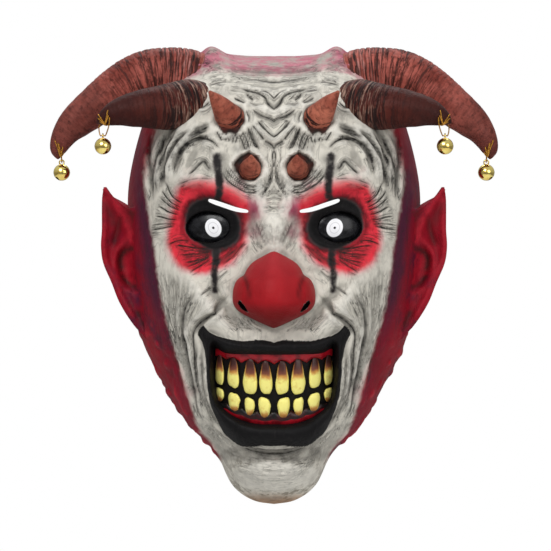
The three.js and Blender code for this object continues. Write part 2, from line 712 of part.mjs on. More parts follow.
// The latex face: outer wall with nose and lips, mouth tray, ears, and the holes through it.
function faceShell(grid) {
  const outer = faceVolume(grid, 0, 0).add(noseSolid(0)).add(lipSolid());
  const hollow = faceVolume(grid, -WALL, BEYOND).add(noseSolid(WALL));
  const tray = throughMouth(mouthOutline(WALL)).intersect(outer).subtract(mouthBarrel(-WALL));
  const mouth = throughMouth(mouthOutline(0)).subtract(mouthBarrel(0));
  let shell = outer.subtract(hollow).add(tray).subtract(mouth);
  const ear = earSolid();
  for (const side of [-1, 1]) {
    shell = shell.add(ear.transform(mirrorAcrossX(side)).subtract(hollow));
    shell = shell.subtract(slitCutter(side)).subtract(eyeHole(side)).subtract(nostrilCutter(side));
  }
  return shell;
}

const mask = new THREE.Group();

function addPiece(name, geometry, material, side = 1) {
  const mesh = new THREE.Mesh(geometry, material);
  mesh.name = name;
  mesh.scale.x = side;
  mask.add(mesh);
}

const grid = faceGrid();
const seatBody = faceVolume(grid, SEAT_GAP, BEYOND);
addPiece("face_shell", geometryFrom(faceShell(grid)), LATEX_WHITE);
addPiece("upper_teeth", geometryFrom(teethSolid(UPPER_TEETH, true)), TOOTH_YELLOW);
addPiece("lower_teeth", geometryFrom(teethSolid(LOWER_TEETH, false)), TOOTH_YELLOW);

const backTie = loopSolid(BACK_TIE, TIE_RADIUS);
const frontTie = loopSolid(FRONT_TIE, TIE_RADIUS);
const backTieChannel = loopSolid(BACK_TIE, TIE_RADIUS + SEAT_GAP);
const frontTieChannel = loopSolid(FRONT_TIE, TIE_RADIUS + SEAT_GAP);
const backHorn = hornSolid(BACK_HORN, { rings: 14, ribs: 7 }).subtract(seatBody).subtract(backTieChannel);
const frontHorn = hornSolid(FRONT_HORN, { rings: 10, ribs: 5 }).subtract(seatBody).subtract(frontTieChannel);
const browHorn = hornSolid(BROW_HORN, { rings: 7, ribs: 0 }).subtract(seatBody);
const browStub = hornSolid(BROW_STUB, { rings: 6, ribs: 0 }).subtract(seatBody);
const backBell = bellSolid(0).translate(BACK_BELL.toArray());
const frontBell = bellSolid(Math.PI / 2).translate(FRONT_BELL.toArray());

for (const [place, side] of [
  ["left", -1],
  ["right", 1],
]) {
  addPiece(`eye_${place}`, eyeGeometry(), EYE_BLACK, side);
  addPiece(`back_horn_${place}`, geometryFrom(backHorn), HORN_BROWN, side);
  addPiece(`front_horn_${place}`, geometryFrom(frontHorn), HORN_BROWN, side);
  addPiece(`brow_horn_${place}`, geometryFrom(browHorn), BROW_TAN, side);
  addPiece(`brow_stub_${place}`, geometryFrom(browStub), BROW_TAN, side);
  addPiece(`back_bell_tie_${place}`, geometryFrom(backTie), THREAD_GOLD, side);
  addPiece(`front_bell_tie_${place}`, geometryFrom(frontTie), THREAD_GOLD, side);
  addPiece(`back_bell_${place}`, geometryFrom(backBell), BELL_GOLD, side);
  addPiece(`front_bell_${place}`, geometryFrom(frontBell), BELL_GOLD, side);
}

export default mask;
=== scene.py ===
"""Devil-clown carnival mask: the looks of the latex face, horns, teeth, eyes, bells and thread ties.

Lengths in the tables are millimetres, in the part's own frame: +Z up, the face looks along -Y.
Fold and paint paths are pixels of the photograph's left half, which the right half mirrors.
"""

import math
from functools import lru_cache

import bmesh
import bpy
import numpy as np
from mathutils import Matrix, Vector


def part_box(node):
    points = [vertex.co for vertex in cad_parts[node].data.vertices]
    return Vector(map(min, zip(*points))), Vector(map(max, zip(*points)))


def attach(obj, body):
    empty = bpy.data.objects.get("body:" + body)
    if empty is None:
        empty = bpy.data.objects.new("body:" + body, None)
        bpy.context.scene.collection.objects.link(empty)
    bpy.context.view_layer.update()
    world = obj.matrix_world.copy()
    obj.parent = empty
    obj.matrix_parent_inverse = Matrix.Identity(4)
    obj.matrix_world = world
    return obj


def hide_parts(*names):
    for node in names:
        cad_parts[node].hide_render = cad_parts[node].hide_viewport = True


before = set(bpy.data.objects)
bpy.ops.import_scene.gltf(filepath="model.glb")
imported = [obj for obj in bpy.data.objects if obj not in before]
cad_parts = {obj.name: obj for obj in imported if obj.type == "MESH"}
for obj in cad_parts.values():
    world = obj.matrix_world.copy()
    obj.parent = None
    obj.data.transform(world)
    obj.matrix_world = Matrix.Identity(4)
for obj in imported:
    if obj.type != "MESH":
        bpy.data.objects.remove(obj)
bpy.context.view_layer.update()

bl_info = {
    "name": "Devil Clown Mask",
    "version": (1, 0, 0),
    "blender": (4, 5, 0),
    "location": "View3D > Sidebar > Mask",
    "description": "Models and paints a latex devil clown mask round its packed solids",
    "category": "Object",
}

MM = 0.001

# The photograph's frame
PHOTO_SCALE = 0.72  # millimetres a pixel
PHOTO_AXIS = 274.0  # pixel column that the two halves mirror about
PHOTO_LEVEL = 208.0  # pixel row of the frame's origin
PHOTO_SIZE = 551.0  # pixels across
PHOTO_CENTRE = 275.5
CAMERA_DISTANCE = 7000.0
CAMERA_FOCUS_Y = -80.0  # the depth at which PHOTO_SCALE holds
SENSOR = 36.0
CAMERA_CLIP = 100.0  # metres

# The stage, in metres
LIGHTS = (  # name, place, size, watts
    ("key", (-0.9, -2.2, 1.6), (1.6, 1.2), 42),
    ("fill", (1.6, -2.0, 0.5), (1.4, 1.6), 20),
    ("rim", (0.0, 1.2, 1.8), (1.6, 0.8), 16),
)
LIGHT_TARGET = (0.0, -0.05, -0.05)
SKY_LOW = (0.32, 0.31, 0.3, 1.0)
SKY_HIGH = (0.85, 0.86, 0.88, 1.0)
SKY_SPAN = (-0.5, 0.8)  # from and to where the low sky turns to the high one
SKY_STRENGTH = 0.62
FLOOR_SIZE = 6.0
FLOOR_SHADE = 0.94  # share of the floor's colour in its darker parts

# Searches, noise and grain
FAR = 99.0  # a distance that counts as out of reach
NEAREST_CHUNK = 100  # points searched for at a time
NOISE_VALUES = 4096  # random values that the noise picks from
NOISE_PRIMES = (73856093, 19349663, 83492791)  # one for each axis
SEAM_MARGIN = 4.0  # how far from a seam older points are looked for
SEAM_SOFTNESS = 0.6  # share of the way to its neighbours that a seam's point moves at a time
UPRIGHT_GRAIN = (1.0, 1.0, 0.32)  # stretches the grain of the face upward
RING_GRAIN = (1.0, 0.14, 0.14)  # stretches the grain of a horn round it

# The face's plain form, as the solids have it
WALL = 2.4
FACE_DEPTH = 116.0
FACE_FULLNESS = 2.4
JAW_FULLNESS = 3.4
JAW_FROM_ANGLE = math.radians(110)
FACE_MIDDLE_Z = -40.0
FRONT_SHARE = 0.9  # share of the way to the outline where the side wall begins
FRONT_ROWS = 0.86  # share of the grid that the front takes
RELIEF_FADES_FROM = 0.86
JAW_RISE = 30.0
THROAT_DEPTH = 55.0
CHIN_Z = -218.0
JAW_Z = -120.0
FACE_GRID = (244, 316)  # columns and rows of the painted side
STANDS_REACH = 4  # cells each way that a ridge or hollow is compared with
ROOM_PAST_RIM = 30.0  # how far the cutter of the hollow is drawn out behind
LINING_CELL = 4  # cells of the painted side that one of the bare side spans

FACE_OUTLINE = (  # z, half
    (111, 0), (111.2, 16), (112.2, 30), (113.6, 42), (108, 66), (98, 78), (85, 88), (57, 97), (23, 105),
    (-20, 106), (-66, 102), (-102, 93.5), (-124, 82), (-150, 69.5), (-162, 61), (-172, 50.5),
    (-184, 40.5), (-204, 30.5), (-214.5, 16), (-217.5, 0),
)
SWELLS = (  # name, side, z, reach across, reach up, turn in degrees, lift
    ("forehead_boss", 40, 74, 26, 24, 0, 5),
    ("temple_fold_upper", 66, 52, 7, 26, 24, 3),
    ("temple_groove", 57, 42, 4, 22, 20, -3),
    ("brow_ridge", 46, 15, 27, 8, 20, 9),
    ("frown_ridge", 10, 8, 5, 22, -8, 4),
    ("eye_socket", 45, -14, 21, 14, 0, -13),
    ("nose_bridge", 0, -16, 9, 22, 0, 8),
    ("cheekbone", 68, -52, 20, 18, 0, 6),
    ("cheek_fold", 46, -74, 7, 22, -38, 6),
    ("cheek_groove", 36, -70, 4, 18, -42, -4),
    ("cheek_hollow", 74, -112, 12, 30, 12, -6),
    ("mouth_barrel", 0, -122, 52, 46, 0, 9),
    ("chin_crease", 0, -178, 34, 5, 0, -5),
    ("chin_ball", 0, -194, 24, 15, 0, 13),
)
CHEVRONS = ((82, 6, 2.0), (66, 14, 2.6), (50, 20, 2.6))  # z at the middle, rise to the side, lift
CHEVRON_REACH = (30.0, 5.0)  # across and up

# Grooves pressed in the face: name, width, depth, darkness of the dark paint and painted shade along them,
# path in photograph pixels
FOLDS = (
    ("forehead_line", 0.8, 0.5, 0.55, ((240, 79.5), (255, 79.5), (267, 81.5), (274, 81.5))),
    ("forehead_line_end", 0.8, 0.5, 0.5, ((207, 85), (215, 83.4), (223, 82), (235, 81.8))),
    ("forehead_faint", 0.7, 0.3, 0.25, ((248, 86.4), (261, 86.4), (274, 87.6))),
    ("chevron_upper", 1.3, 1.0, 0.85,
     ((240, 88), (249, 90.5), (258, 92.5), (265, 97), (268, 103), (274, 109))),
    ("chevron_notch", 0.8, 0.6, 0.7, ((260, 89.5), (268, 92.5), (274, 98))),
    ("chevron_side", 1.3, 0.9, 0.8, ((246, 93.5), (250, 97), (254, 101))),
    ("chevron_thin", 0.8, 0.5, 0.4, ((248, 101.5), (255, 105), (265, 105.5))),
    ("chevron_middle", 2.2, 1.6, 0.85, ((252, 109), (261, 115.5), (269, 118.5), (274, 121.5))),
    ("chevron_lower", 1.6, 1.2, 0.8, ((257, 121), (265, 129), (270, 133.5), (274, 136.5))),
    ("strand_inner", 1.4, 1.1, 0.9, ((252, 125), (258, 132.5), (265, 141.5))),
    ("strand_middle", 1.3, 1.0, 0.9, ((247, 126.5), (252, 136), (258, 147.5), (260.5, 151.5))),
    ("strand_outer", 1.7, 1.2, 0.9, ((242, 131.5), (246, 138.5), (249, 147.5), (250.5, 154))),
    ("frown_notch", 1.5, 1.0, 0.8, ((264, 141), (271, 145), (274, 148.5))),
    ("frown_middle", 0.9, 0.8, 0.6, ((274, 149), (272.6, 157), (274, 166))),
    ("frown_long", 0.9, 0.8, 0.6, ((274, 160), (271.5, 175), (268, 187), (261, 197.5), (257.5, 203))),
    ("frown_short", 0.8, 0.6, 0.5, ((273, 168), (269, 180), (264, 190.5), (259.5, 199))),
    ("brow_peak", 1.3, 1.0, 0.85, ((187, 177), (195, 169), (203, 161.5), (208, 167), (213.5, 172))),
    ("brow_loop_upper", 1.0, 0.9, 0.7, ((194, 104), (198, 97), (206, 91), (209, 90))),
    ("brow_loop_lower", 1.0, 0.8, 0.7, ((194, 106), (203, 107), (210, 101))),
    ("temple_edge", 0.9, 0.7, 0.6, ((149.5, 131), (148.5, 147), (148, 161), (150, 176))),
    ("temple_slip", 0.9, 0.7, 0.6, ((161.5, 137), (161.5, 146), (157.5, 158))),
    ("crow_lower", 0.7, 0.5, 0.6, ((167.5, 245.5), (173, 242.5), (180, 240.5), (190, 241))),
    ("cheek_tick", 0.8, 0.5, 0.5, ((213, 287), (205, 292), (199, 296.5))),
    ("nose_tick", 0.7, 0.4, 0.4, ((217, 281), (223, 275), (229, 270.5))),
    ("cheek_line", 1.4, 1.2, 0.62,
     ((197.5, 286), (193, 296), (185.5, 306), (182, 321), (182, 338), (186.5, 356), (189.5, 377),
      (196, 405), (206, 430))),
    ("smile_line", 1.8, 1.8, 0.68,
     ((233, 291), (220, 304.5), (215.5, 313), (206, 318), (197, 325), (192, 335), (193.5, 352), (195, 371),
      (199, 394), (209, 419))),
    ("chin_crease", 2.0, 1.5, 0.6, ((240, 447), (251, 451), (262, 453.5), (274, 454))),
    ("chin_line_upper", 0.8, 0.6, 0.5, ((236, 441), (250, 446.5), (262, 448.5), (274, 449))),
    ("chin_line_lower", 0.8, 0.5, 0.45, ((246, 456), (258, 458.5), (274, 459))),
    ("chin_dimple", 1.0, 0.6, 0.35, ((264, 471), (274, 472))),
    ("chin_side", 1.2, 0.6, 0.4, ((220, 452), (228, 470), (240, 485))),
    ("bridge_arc_upper", 0.8, 0.4, 0.25, ((266, 200), (274, 198.5))),
    ("bridge_arc_lower", 0.8, 0.4, 0.25, ((262, 209), (274, 208))),
    ("swirl_valley_inner", 2.2, 1.6, 0.36,
     ((208, 131), (196, 141.5), (184, 150), (177.5, 164), (175, 178))),
    ("swirl_valley_outer", 1.9, 1.4, 0.36, ((183, 117), (171, 130), (164.5, 146), (162, 164), (163, 184))),
    ("swirl_valley_edge", 1.5, 1.1, 0.36, ((153, 131), (149.5, 149), (149, 168), (151, 190))),
    ("strand_gap_inner", 2.2, 1.8, 0.8, ((248, 130), (252, 139), (257, 150))),
    ("strand_gap_outer", 2.0, 1.6, 0.75, ((239, 134), (243, 143), (246, 152))),
    ("horn_spike", 1.5, 1.2, 0.9, ((234, 97.5), (240, 100), (246, 103.5))),
    ("horn_gap", 1.7, 1.2, 0.85, ((246, 110), (249.5, 117), (249, 124))),
    ("forehead_long", 0.9, 0.5, 0.4, ((222, 71), (240, 70), (258, 71.5), (274, 71))),
    ("brow_under", 1.6, 1.0, 0.5, ((176, 186), (190, 180), (206, 178), (214, 181))),
    ("cheek_valley", 2.4, 1.6, 0.3, ((222, 303), (213, 313), (203, 322), (196, 336))),
    ("jaw_valley", 2.4, 1.6, 0.4, ((184, 330), (186, 352), (190, 378), (198, 408))),
)
# Families of like grooves: name, how many, width, depth, darkness of dark paint and painted shade, first
# path, last path
FOLD_FANS = (
    ("temple_swirl", 6, 1.4, 1.2, 0.8,
     ((168, 131), (160, 146), (154, 163), (151, 182), (152, 200)),
     ((214, 124), (196, 133), (182, 147), (175, 163), (173, 180))),
    ("brow_swirl", 4, 1.2, 0.9, 0.75,
     ((209, 130), (198, 133.5), (187, 141), (180, 151), (176, 163)),
     ((220, 149), (211, 142), (202, 138.5), (193, 141), (184, 150))),
    ("horn_strands", 5, 1.0, 0.8, 0.75, ((217, 132), (220, 137), (223, 142)),
     ((236, 133), (236.5, 139), (237, 145))),
    ("stub_loops", 3, 0.9, 0.7, 0.62,
     ((226, 164), (236, 177.5), (247, 186), (255, 187.5), (260.5, 183), (262.5, 174)),
     ((219, 167), (230, 182), (244, 191), (253, 192.5), (263, 187), (266.5, 174))),
    ("crow_feet", 7, 0.8, 0.6, 0.62, ((184, 204), (172, 196), (163, 180)),
     ((175, 227), (163, 229), (149, 232))),
    ("eye_bag", 7, 0.7, 0.4, 0.7, ((214, 248), (196, 247.5), (172, 245)),
     ((212, 258), (200, 266), (188, 272))),
    ("mouth_side", 3, 0.9, 0.7, 0.42,
     ((197, 340), (197, 360), (200, 385), (207, 409), (217, 428)),
     ((201, 346), (202, 368), (205, 392), (212, 412), (222, 431))),
    ("lip_wrinkles", 6, 0.9, 0.4, 0.25, ((219, 312), (228, 322), (240, 331)),
     ((246, 317), (252, 325), (262, 331))),
    ("chin_wraps", 3, 0.9, 0.5, 0.32, ((214, 428), (228, 441), (245, 449)),
     ((208, 436), (222, 450), (240, 459))),
    ("bridge_strands", 4, 0.9, 0.7, 0.42, ((256, 221), (262, 236), (268, 247)),
     ((271, 223), (272, 234), (273.5, 246))),
    ("crown_creases", 4, 0.9, 0.5, 0.2, ((196, 63), (206, 61), (219, 60)),
     ((207, 78), (216, 75), (227, 74))),
    ("temple_hairs", 11, 0.9, 0.35, 0.4,
     ((156, 132), (150, 148), (148, 165), (149, 186), (152, 206)),
     ((217, 120), (199, 128), (184, 141), (175, 158), (171, 178))),
    ("forehead_hairs", 7, 0.9, 0.25, 0.28, ((226, 66), (246, 66.5), (274, 67)),
     ((228, 90), (246, 94), (262, 103))),
    ("cheek_hairs", 9, 0.9, 0.35, 0.3,
     ((163, 262), (166, 290), (173, 325), (182, 362), (193, 402)),
     ((204, 286), (196, 304), (187, 328), (190, 360), (198, 398))),
    ("eye_hairs", 6, 0.9, 0.35, 0.5, ((236, 248), (222, 258), (203, 268)),
     ((246, 240), (236, 254), (222, 266))),
    ("bridge_hairs", 4, 0.9, 0.3, 0.2, ((252, 226), (258, 240), (264, 250)),
     ((262, 216), (266, 228), (271, 243))),
    ("jaw_hairs", 6, 0.9, 0.35, 0.3, ((196, 420), (212, 445), (226, 468)),
     ((209, 421), (224, 440), (243, 452))),
    ("chin_hairs", 5, 0.9, 0.3, 0.25, ((226, 452), (250, 460), (274, 462)),
     ((238, 474), (255, 479), (274, 480))),
)
JAW_LUMPS = (7.0, 2.0)  # from lump to lump on the jaw's side, and how high they stand
# Where they begin, are full, fade and end: in front of the rim, and below the origin
JAW_LUMPS_DEPTH = (3.0, 14.0, 60.0, 80.0)
JAW_LUMPS_DROP = (60.0, 100.0, 170.0, 190.0)
SKIN_LUMPS = ((0.35, 7.0, 3), (0.18, 3.2, 4))  # height, size, seed
HORN_LUMPS = ((0.35, 6.0, 14), (0.16, 2.6, 15))
FOLD_SHOULDER = 0.45  # how high the skin rises beside a groove, as a share of its depth
FAN_SEED = 7
FAN_STEPS = 24
FLOW_REACH = 7.0  # how far fine wrinkles follow a groove
LINE_REACH = 2.4  # how far beside a groove its line may stray
FLOW_STRETCH = 0.14  # how much longer than wide they are, turned about
FLOW_LAYER = 3.1  # keeps the fine wrinkles of one groove apart from those of the next

# Mouth: the opening inside the lips and the lips' outer edge, in photograph pixels of the left half
LIP_INNER = ((274, 352), (250, 351.5), (226, 350), (214, 342), (211, 356), (213, 390), (221, 409),
             (240, 423), (260, 427), (274, 427))
LIP_OUTER = ((274, 342), (261, 339.5), (241, 340.5), (222, 337), (210, 332), (203, 325), (198, 333),
             (203, 344), (206, 361), (208.5, 393), (215, 416), (225.5, 434), (242, 446), (261, 445),
             (274, 445))
LIP_LIFT = 4.2
MOUTH_FLOOR_RADIUS = 58.0
MOUTH_FLOOR_Y = -109.0
MOUTH_LEAN = math.radians(14)
MOUTH_MIDDLE_Z = -129.0
MOUTH_BOX = (62.0, -180.0, -78.0)  # half the width, foot and top of where the mouth is looked for
MOUTH_PAST_MIDDLE = (30.0, 0.0)  # how far past the middle the lips' half outlines are closed
MOUTH_EDGE = (-3.2, 0.4)  # distances past the opening between which the painted side leaves the floor
LINING_MOUTH_EDGE = (1.0, 8.0)  # and the bare side

NOSE = (  # z, half, lift
    (-28.5, 2, 3), (-34, 10, 11), (-39, 17, 19), (-44, 20.2, 26), (-48, 22, 30), (-51.5, 26.6, 33),
    (-56, 28.8, 35), (-61, 29.8, 36.5), (-69, 29.6, 36), (-74.5, 26.4, 32), (-80, 18, 25),
    (-85.5, 8, 12), (-88, 1.5, 5),
)
NOSE_ROOT = 10.0
NOSE_HOLLOW = (17.0, 40.0)  # half the width of the hollow, and how far back it runs
NOSE_SIDES = 72
NOSE_RINGS = 44
NOSE_BOX = (40.0, -98.0, -18.0)  # half the width, foot and top of where the nose is looked for
NOSE_WING = (25.0, -63.0, 6.5, 2.4)  # side, z, reach, lift of the wing's swell
# Their darkness is painted shade in the creases.
NOSE_CREASES = (  # width, depth, darkness, path
    (1.5, 2.0, 0.8, ((23.5, -45.5), (20.5, -51), (18.6, -57), (18.0, -63), (19.5, -69))),
    (4.5, 1.3, 0.12, ((7, -38), (10, -48), (12, -60), (11, -72))),
)

# Sight slit in photograph pixels, then the right eye and nostril
SLIT = ((208.6, 201.2), (210.5, 199.2), (222, 202.6), (236, 207.4), (246.5, 209.9), (248.4, 211.6),
        (246.5, 213), (236, 211.8), (223, 207.6), (212, 203.6))
SLIT_FROM_Y = -150.0
SLIT_DEPTH = 90.0
EYE_CENTRE = (45.4, -95.0, -14.0)
EYE_HALF = (16.5, 11.5)
EYE_TURN = math.radians(17)
EYE_SEAT_FRONT = 2.0
EYE_SEAT_BACK = 6.0
EYE_BULGE = 5.0
EYE_LAP = 0.8  # how far an eye reaches under its lid
LID = (2.6, 2.4)  # width and height of the rolled lid round an eye
LID_RING = 1.14  # where the lid stands highest, 1 on the rim of the seat
EYE_DISC = (213.5, 228.0)  # the white disc's middle, in pixels
EYE_DISC_HALF = (5.9, 6.7)
EYE_DISC_SLANT = -0.12  # sideways over its height
EYE_RING_HALF = (3.5, 3.85)  # of the thin grey ring on the disc
EYE_PUPIL = 0.9
NOSTRIL = (23.0, -136.0, -70.5)
NOSTRIL_HALF = (5.6, 13.0, 2.7)
NOSTRIL_SLANT = 0.5  # towards the middle, over its depth
NOSTRIL_TURN = math.radians(-35)  # the outer end up

EAR = (  # z, outer, inner, outer y, inner y, cup
    (15.5, 123.5, 121.5, -30, -31, 0), (8, 124.6, 115.8, -31, -37, 1.5), (0, 124.8, 106.5, -33, -46, 4),
    (-7, 124.8, 95, -33, -53, 6), (-16, 124.8, 90, -34, -58, 9), (-28, 125.4, 88, -35, -62, 12),
    (-40, 123.6, 87, -36, -64, 14), (-54, 117.6, 86, -38, -64, 12), (-68, 112, 85, -40, -62, 7),
    (-82, 103.4, 84, -42, -58, 3), (-96, 92, 83, -44, -54, 0),
)
EAR_WALL = 3.2
EAR_GRID = (26, 60)
EAR_SEAM = (5.0, 14)  # reach and rounds of the smoothing where an ear meets the face
# Ridges and dents of an ear: name, width, lift, darkness of painted shade (painted highlight below 0), path
# in photograph pixels
EAR_RIDGES = (
    ("helix", 3.0, 3.6, -1.0, ((104, 189), (117, 209), (126, 226), (131, 240))),
    ("rim", 2.4, 2.2, -0.6,
     ((103, 200), (104, 226), (103, 243), (105, 258), (113, 278), (122, 298), (131, 315))),
    ("antihelix", 2.4, 2.6, -0.6, ((124, 240), (115, 253), (115, 271), (124, 288), (140, 294))),
    ("channel", 2.4, -2.4, 0.55, ((119, 219), (117, 229), (113, 242))),
    ("concha", 6.5, -5.0, -0.9, ((129, 259), (129.5, 268), (131, 280))),
    ("concha_edge", 2.2, -1.6, 0.8, ((120, 268), (119.5, 258), (125, 250.5), (133, 249), (137, 256))),
    ("concha_foot", 2.0, -1.2, 0.7, ((122, 277), (128, 284), (136, 287.5))),
    ("front_fold", 4.0, -2.0, 0.5, ((131, 207), (136, 226), (142, 244), (142, 262))),
    ("tip_shade", 4.0, 0.0, 0.4, ((104, 205), (109, 213), (113, 222))),
    ("lobe_notch", 2.4, -2.4, 0.65, ((137, 313), (141, 319), (146, 330))),
)

# Paint borders in photograph pixels of the left half
WHITE_EDGE = ((142, 40), (141.5, 129), (143.5, 178), (147.5, 208), (154.5, 250), (157, 270), (160, 290),
              (166.5, 321), (176, 353), (184, 377), (195, 419), (207, 445), (219, 470), (226, 520))
RED_PATCH = ((180, 187), (197, 180.5), (215, 182), (234, 188.5), (246, 198), (250, 211), (247, 229),
             (245, 245), (233, 261), (215, 270.5), (197, 273), (178, 265), (168, 245), (169.5, 225),
             (173.5, 205))
EYE_BLACK = ((185, 224), (188, 209), (198, 200.5), (212, 198), (224, 205), (236, 213), (241, 224),
             (240, 236), (234, 244), (224, 249), (212, 250), (202, 246), (193, 240), (187, 233))
EYE_BLACK_SOFT = 3.2
RED_PATCH_SOFT = 8.0
LID_PAINT = (5.5, 4.0)  # soft edge of the lid's dark red, and how far it reaches past the black
MAROON_EDGE = (-3.4, 3.4)  # past the white's edge, from and to where the maroon comes in
MAROON_FOOT_Z = (-190.0, -174.0)
SHADE_PAST = (4.0, 6.0)  # past the white's edge, the middle and reach of the purple shade
SHADE_THINS_BELOW = (55.0, 110.0)
SHADE_THINS_ABOVE = (0.0, 40.0)
BEHIND_Y = (-74.0, -50.0)  # from and to where the paint of the back comes in
CROWN_Z = (78.0, 92.0)  # from and to where maroon turns to pink behind
PINK_Z = (94.0, 107.0)  # from and to where white turns to pink in front
CHIN_SPECKLE = (164.0, 200.0)  # below the origin, from and to where the chin's speckle comes in
CHIN_EDGE_Z = (-197.0, -210.0)
# The nose's painted shade below and painted light on top go by these heights.
NOSE_TONES_Z = (-62.0, -86.0, -34.0)  # where the nose is plain red, most shaded and lightest
STRIPE_SOFT = (-2.8, 1.6)  # past a stripe's edge, from and to where it fades
STRIPE_STRENGTH = 0.78
STRIPES = (  # name, half the width at the two ends, path
    ("brow_stripe", 5.6, 5.2, ((217, 157), (219, 175), (220, 190), (217.5, 201))),
    ("tear_stripe", 5.6, 4.6, ((216, 246), (216.5, 260), (214.5, 275), (215.5, 290))),
)
# Spots of painted shade in hollows, in creases by the horns and stripes, and under the horns.
DARK_SPOTS = (  # name, pixel column, pixel row, reach in pixels, darkness
    ("horn_foot", 232, 131, 7, 0.55), ("strand_shade", 238, 150, 5, 0.5),
    ("stripe_shade", 220, 160, 6, 0.6), ("temple_shade", 192, 112, 7, 0.5),
    ("corner_shade", 254, 212, 6, 0.3), ("chin_shade", 262, 452, 12, 0.4),
    ("horn_root", 176, 126, 8, 0.55), ("stub_left", 241, 162, 4, 0.8),
)
BLUSHES = (  # name, pixel column, pixel row, reach in pixels, strength of the purple pink
    ("inner_corner", 253, 209, 15, 0.95), ("bridge", 256, 232, 10, 0.6), ("brow_inner", 240, 184, 9, 0.55),
    ("horn_root", 198, 60, 13, 0.8), ("temple", 152, 165, 9, 0.35), ("brow", 188, 172, 9, 0.3),
    ("jaw", 190, 392, 12, 0.35), ("under_eye", 232, 262, 10, 0.35), ("chin", 272, 461, 7, 0.25),
)
HORNS = {  # x, y, z, radius along each horn, root first
    "back_horn": (
        (40, -34, 84, 15), (59, -38, 95, 19.5), (87, -40, 97, 18.7), (110, -42, 88, 17),
        (139, -44, 66, 13.2), (149, -45, 56.5, 10.4), (154.5, -45, 47.5, 7.8), (156.5, -45, 40.5, 5.2),
        (156.3, -45, 37.2, 2),
    ),
    "front_horn": (
        (40, -50, 72, 9), (58, -72, 75, 17.6), (78.5, -82, 72.5, 16.6), (96.5, -88, 71.3, 13.7),
        (111, -91, 68.8, 10.4), (120.2, -92, 65.2, 6.8), (125, -92, 62.6, 3.8), (126.5, -92, 61.6, 1.6),
    ),
    "brow_horn": ((29, -74, 58, 10), (31, -90, 63, 11.5), (35, -98, 69, 9.2), (41, -103, 77, 5.4),
                  (46, -106, 83, 1.4)),
    "brow_stub": ((17, -92, 24, 7), (17, -106, 27, 8.4), (16.8, -114, 30, 6.6), (16.4, -119, 34, 3.6),
                  (16.2, -121, 37, 1.2)),
}
HORN_DETAIL = {  # ring spacing, sides, subdivision, rib pitch, rib depth, share of the way where ribs fade
    "back_horn": (2.0, 24, 2, 3.4, 1.0, 0.62),
    "front_horn": (1.8, 22, 2, 3.0, 0.8, 0.55),
    "brow_horn": (1.2, 16, 2, 2.2, 0.4, 0.5),
    "brow_stub": (1.1, 14, 2, 1.9, 0.35, 0.55),
}
# Shares of the way where the skin drawn up on a horn fades and ends, then where its dark root does
HORN_ROOT = {
    "back_horn": (0.16, 0.38, 0.25, 0.75), "front_horn": (0.32, 0.6, 0.3, 0.85),
    "brow_horn": (0.36, 0.6, 0.4, 0.7), "brow_stub": (0.38, 0.6, 0.5, 0.7),
}
# Skin drawn up on the large horns: how far along, and how thick at first
SLEEVES = {"back_horn": (27.0, 2.6), "front_horn": (31.0, 2.0)}
SLEEVE_FOLD = 3.3  # from wrinkle to wrinkle
SLEEVE_PAST = 14  # how much of the horn past its sleeve is looked at
SLEEVE_MARGIN = 24.0  # how far from a horn's middle line skin is looked for
# Skin round the small horns: side, z, radius of the groove, its depth, height of the rim beyond it
COLLARS = {"brow_horn": (32.6, 65.0, 10.6, 1.5, 2.0), "brow_stub": (18.2, 29.0, 8.8, 2.6, 2.2)}
# Lumps where the crown meets the back horns: side, y, z, reach each way, lift
CROWN_LUMPS = ((46, -36, 110, 9, 18, 9, 7.6), (33, -40, 108, 7, 12, 6, 1.5))
HORN_SEAT = 1.2  # how deep a horn is set in the skin
TIP_DOME = (0.5, 0.95, 1.3, 1.5)  # angles of the rings that close a horn's tip
RING_SPREAD = 9.0  # size of the rings that a horn's pattern is laid on

# Teeth of one half: side, half the width, top, foot
UPPER_TEETH = ((5.9, 4.8, -109.5, -133.6), (17.2, 5.1, -108, -133.6), (29.3, 4.2, -107, -129),
               (39.1, 3.2, -105, -127))
LOWER_TEETH = ((6.8, 4.6, -136.4, -152), (17.5, 3.7, -136.4, -150), (28.7, 4.4, -133, -147),
               (38.8, 3.0, -129.5, -139.5))
TOOTH_THICKNESS = 4.2
TOOTH_SQUARENESS = 0.6  # 1 is a ball
TOOTH_LIFT = 0.3  # how far in front of the mouth's floor
GUM_RISE = 2.6
GUM_WALL = 1.2
GUM_GRID = (120, 14)
GUM_LIFT = 0.4
GUM_INSET = 0.2  # how far a gum's outer edge stays inside its solid's box
GUM_SCALLOP = (2.4, 5.5)  # depth, and half the width of one
GUM_BOW = 42.0  # side at which the edges have bowed up by what is stated
UPPER_GUM = (-101.0, 2.0, -109.8, 4.0)  # top, its bow, foot, its bow
LOWER_GUM = (-148.5, 10.0, -157.2, 15.0)

# Middles of the right bells
BACK_BELL = (153.6, -45.0, 26.0)
FRONT_BELL = (123.0, -91.5, 44.4)
BELL_EYE_LIFT = 7.2  # from a bell's middle to its eye's
BELL_SEAM = (0.014, 0.35)  # height as a share of the bell's radius, and width, of the rolled seam
BELL_SLOT_TURN = math.radians(50)  # from the eye's wire
PLY_PITCH = 2.2  # along the thread for one turn of its plies
PLY_STEP = 0.35
PLY_SIDEWAYS = (0.31, 0.88, 0.36)  # a direction that no thread runs along
STRAND_BOW = 1.0  # how far a strand bows out in front of the horn
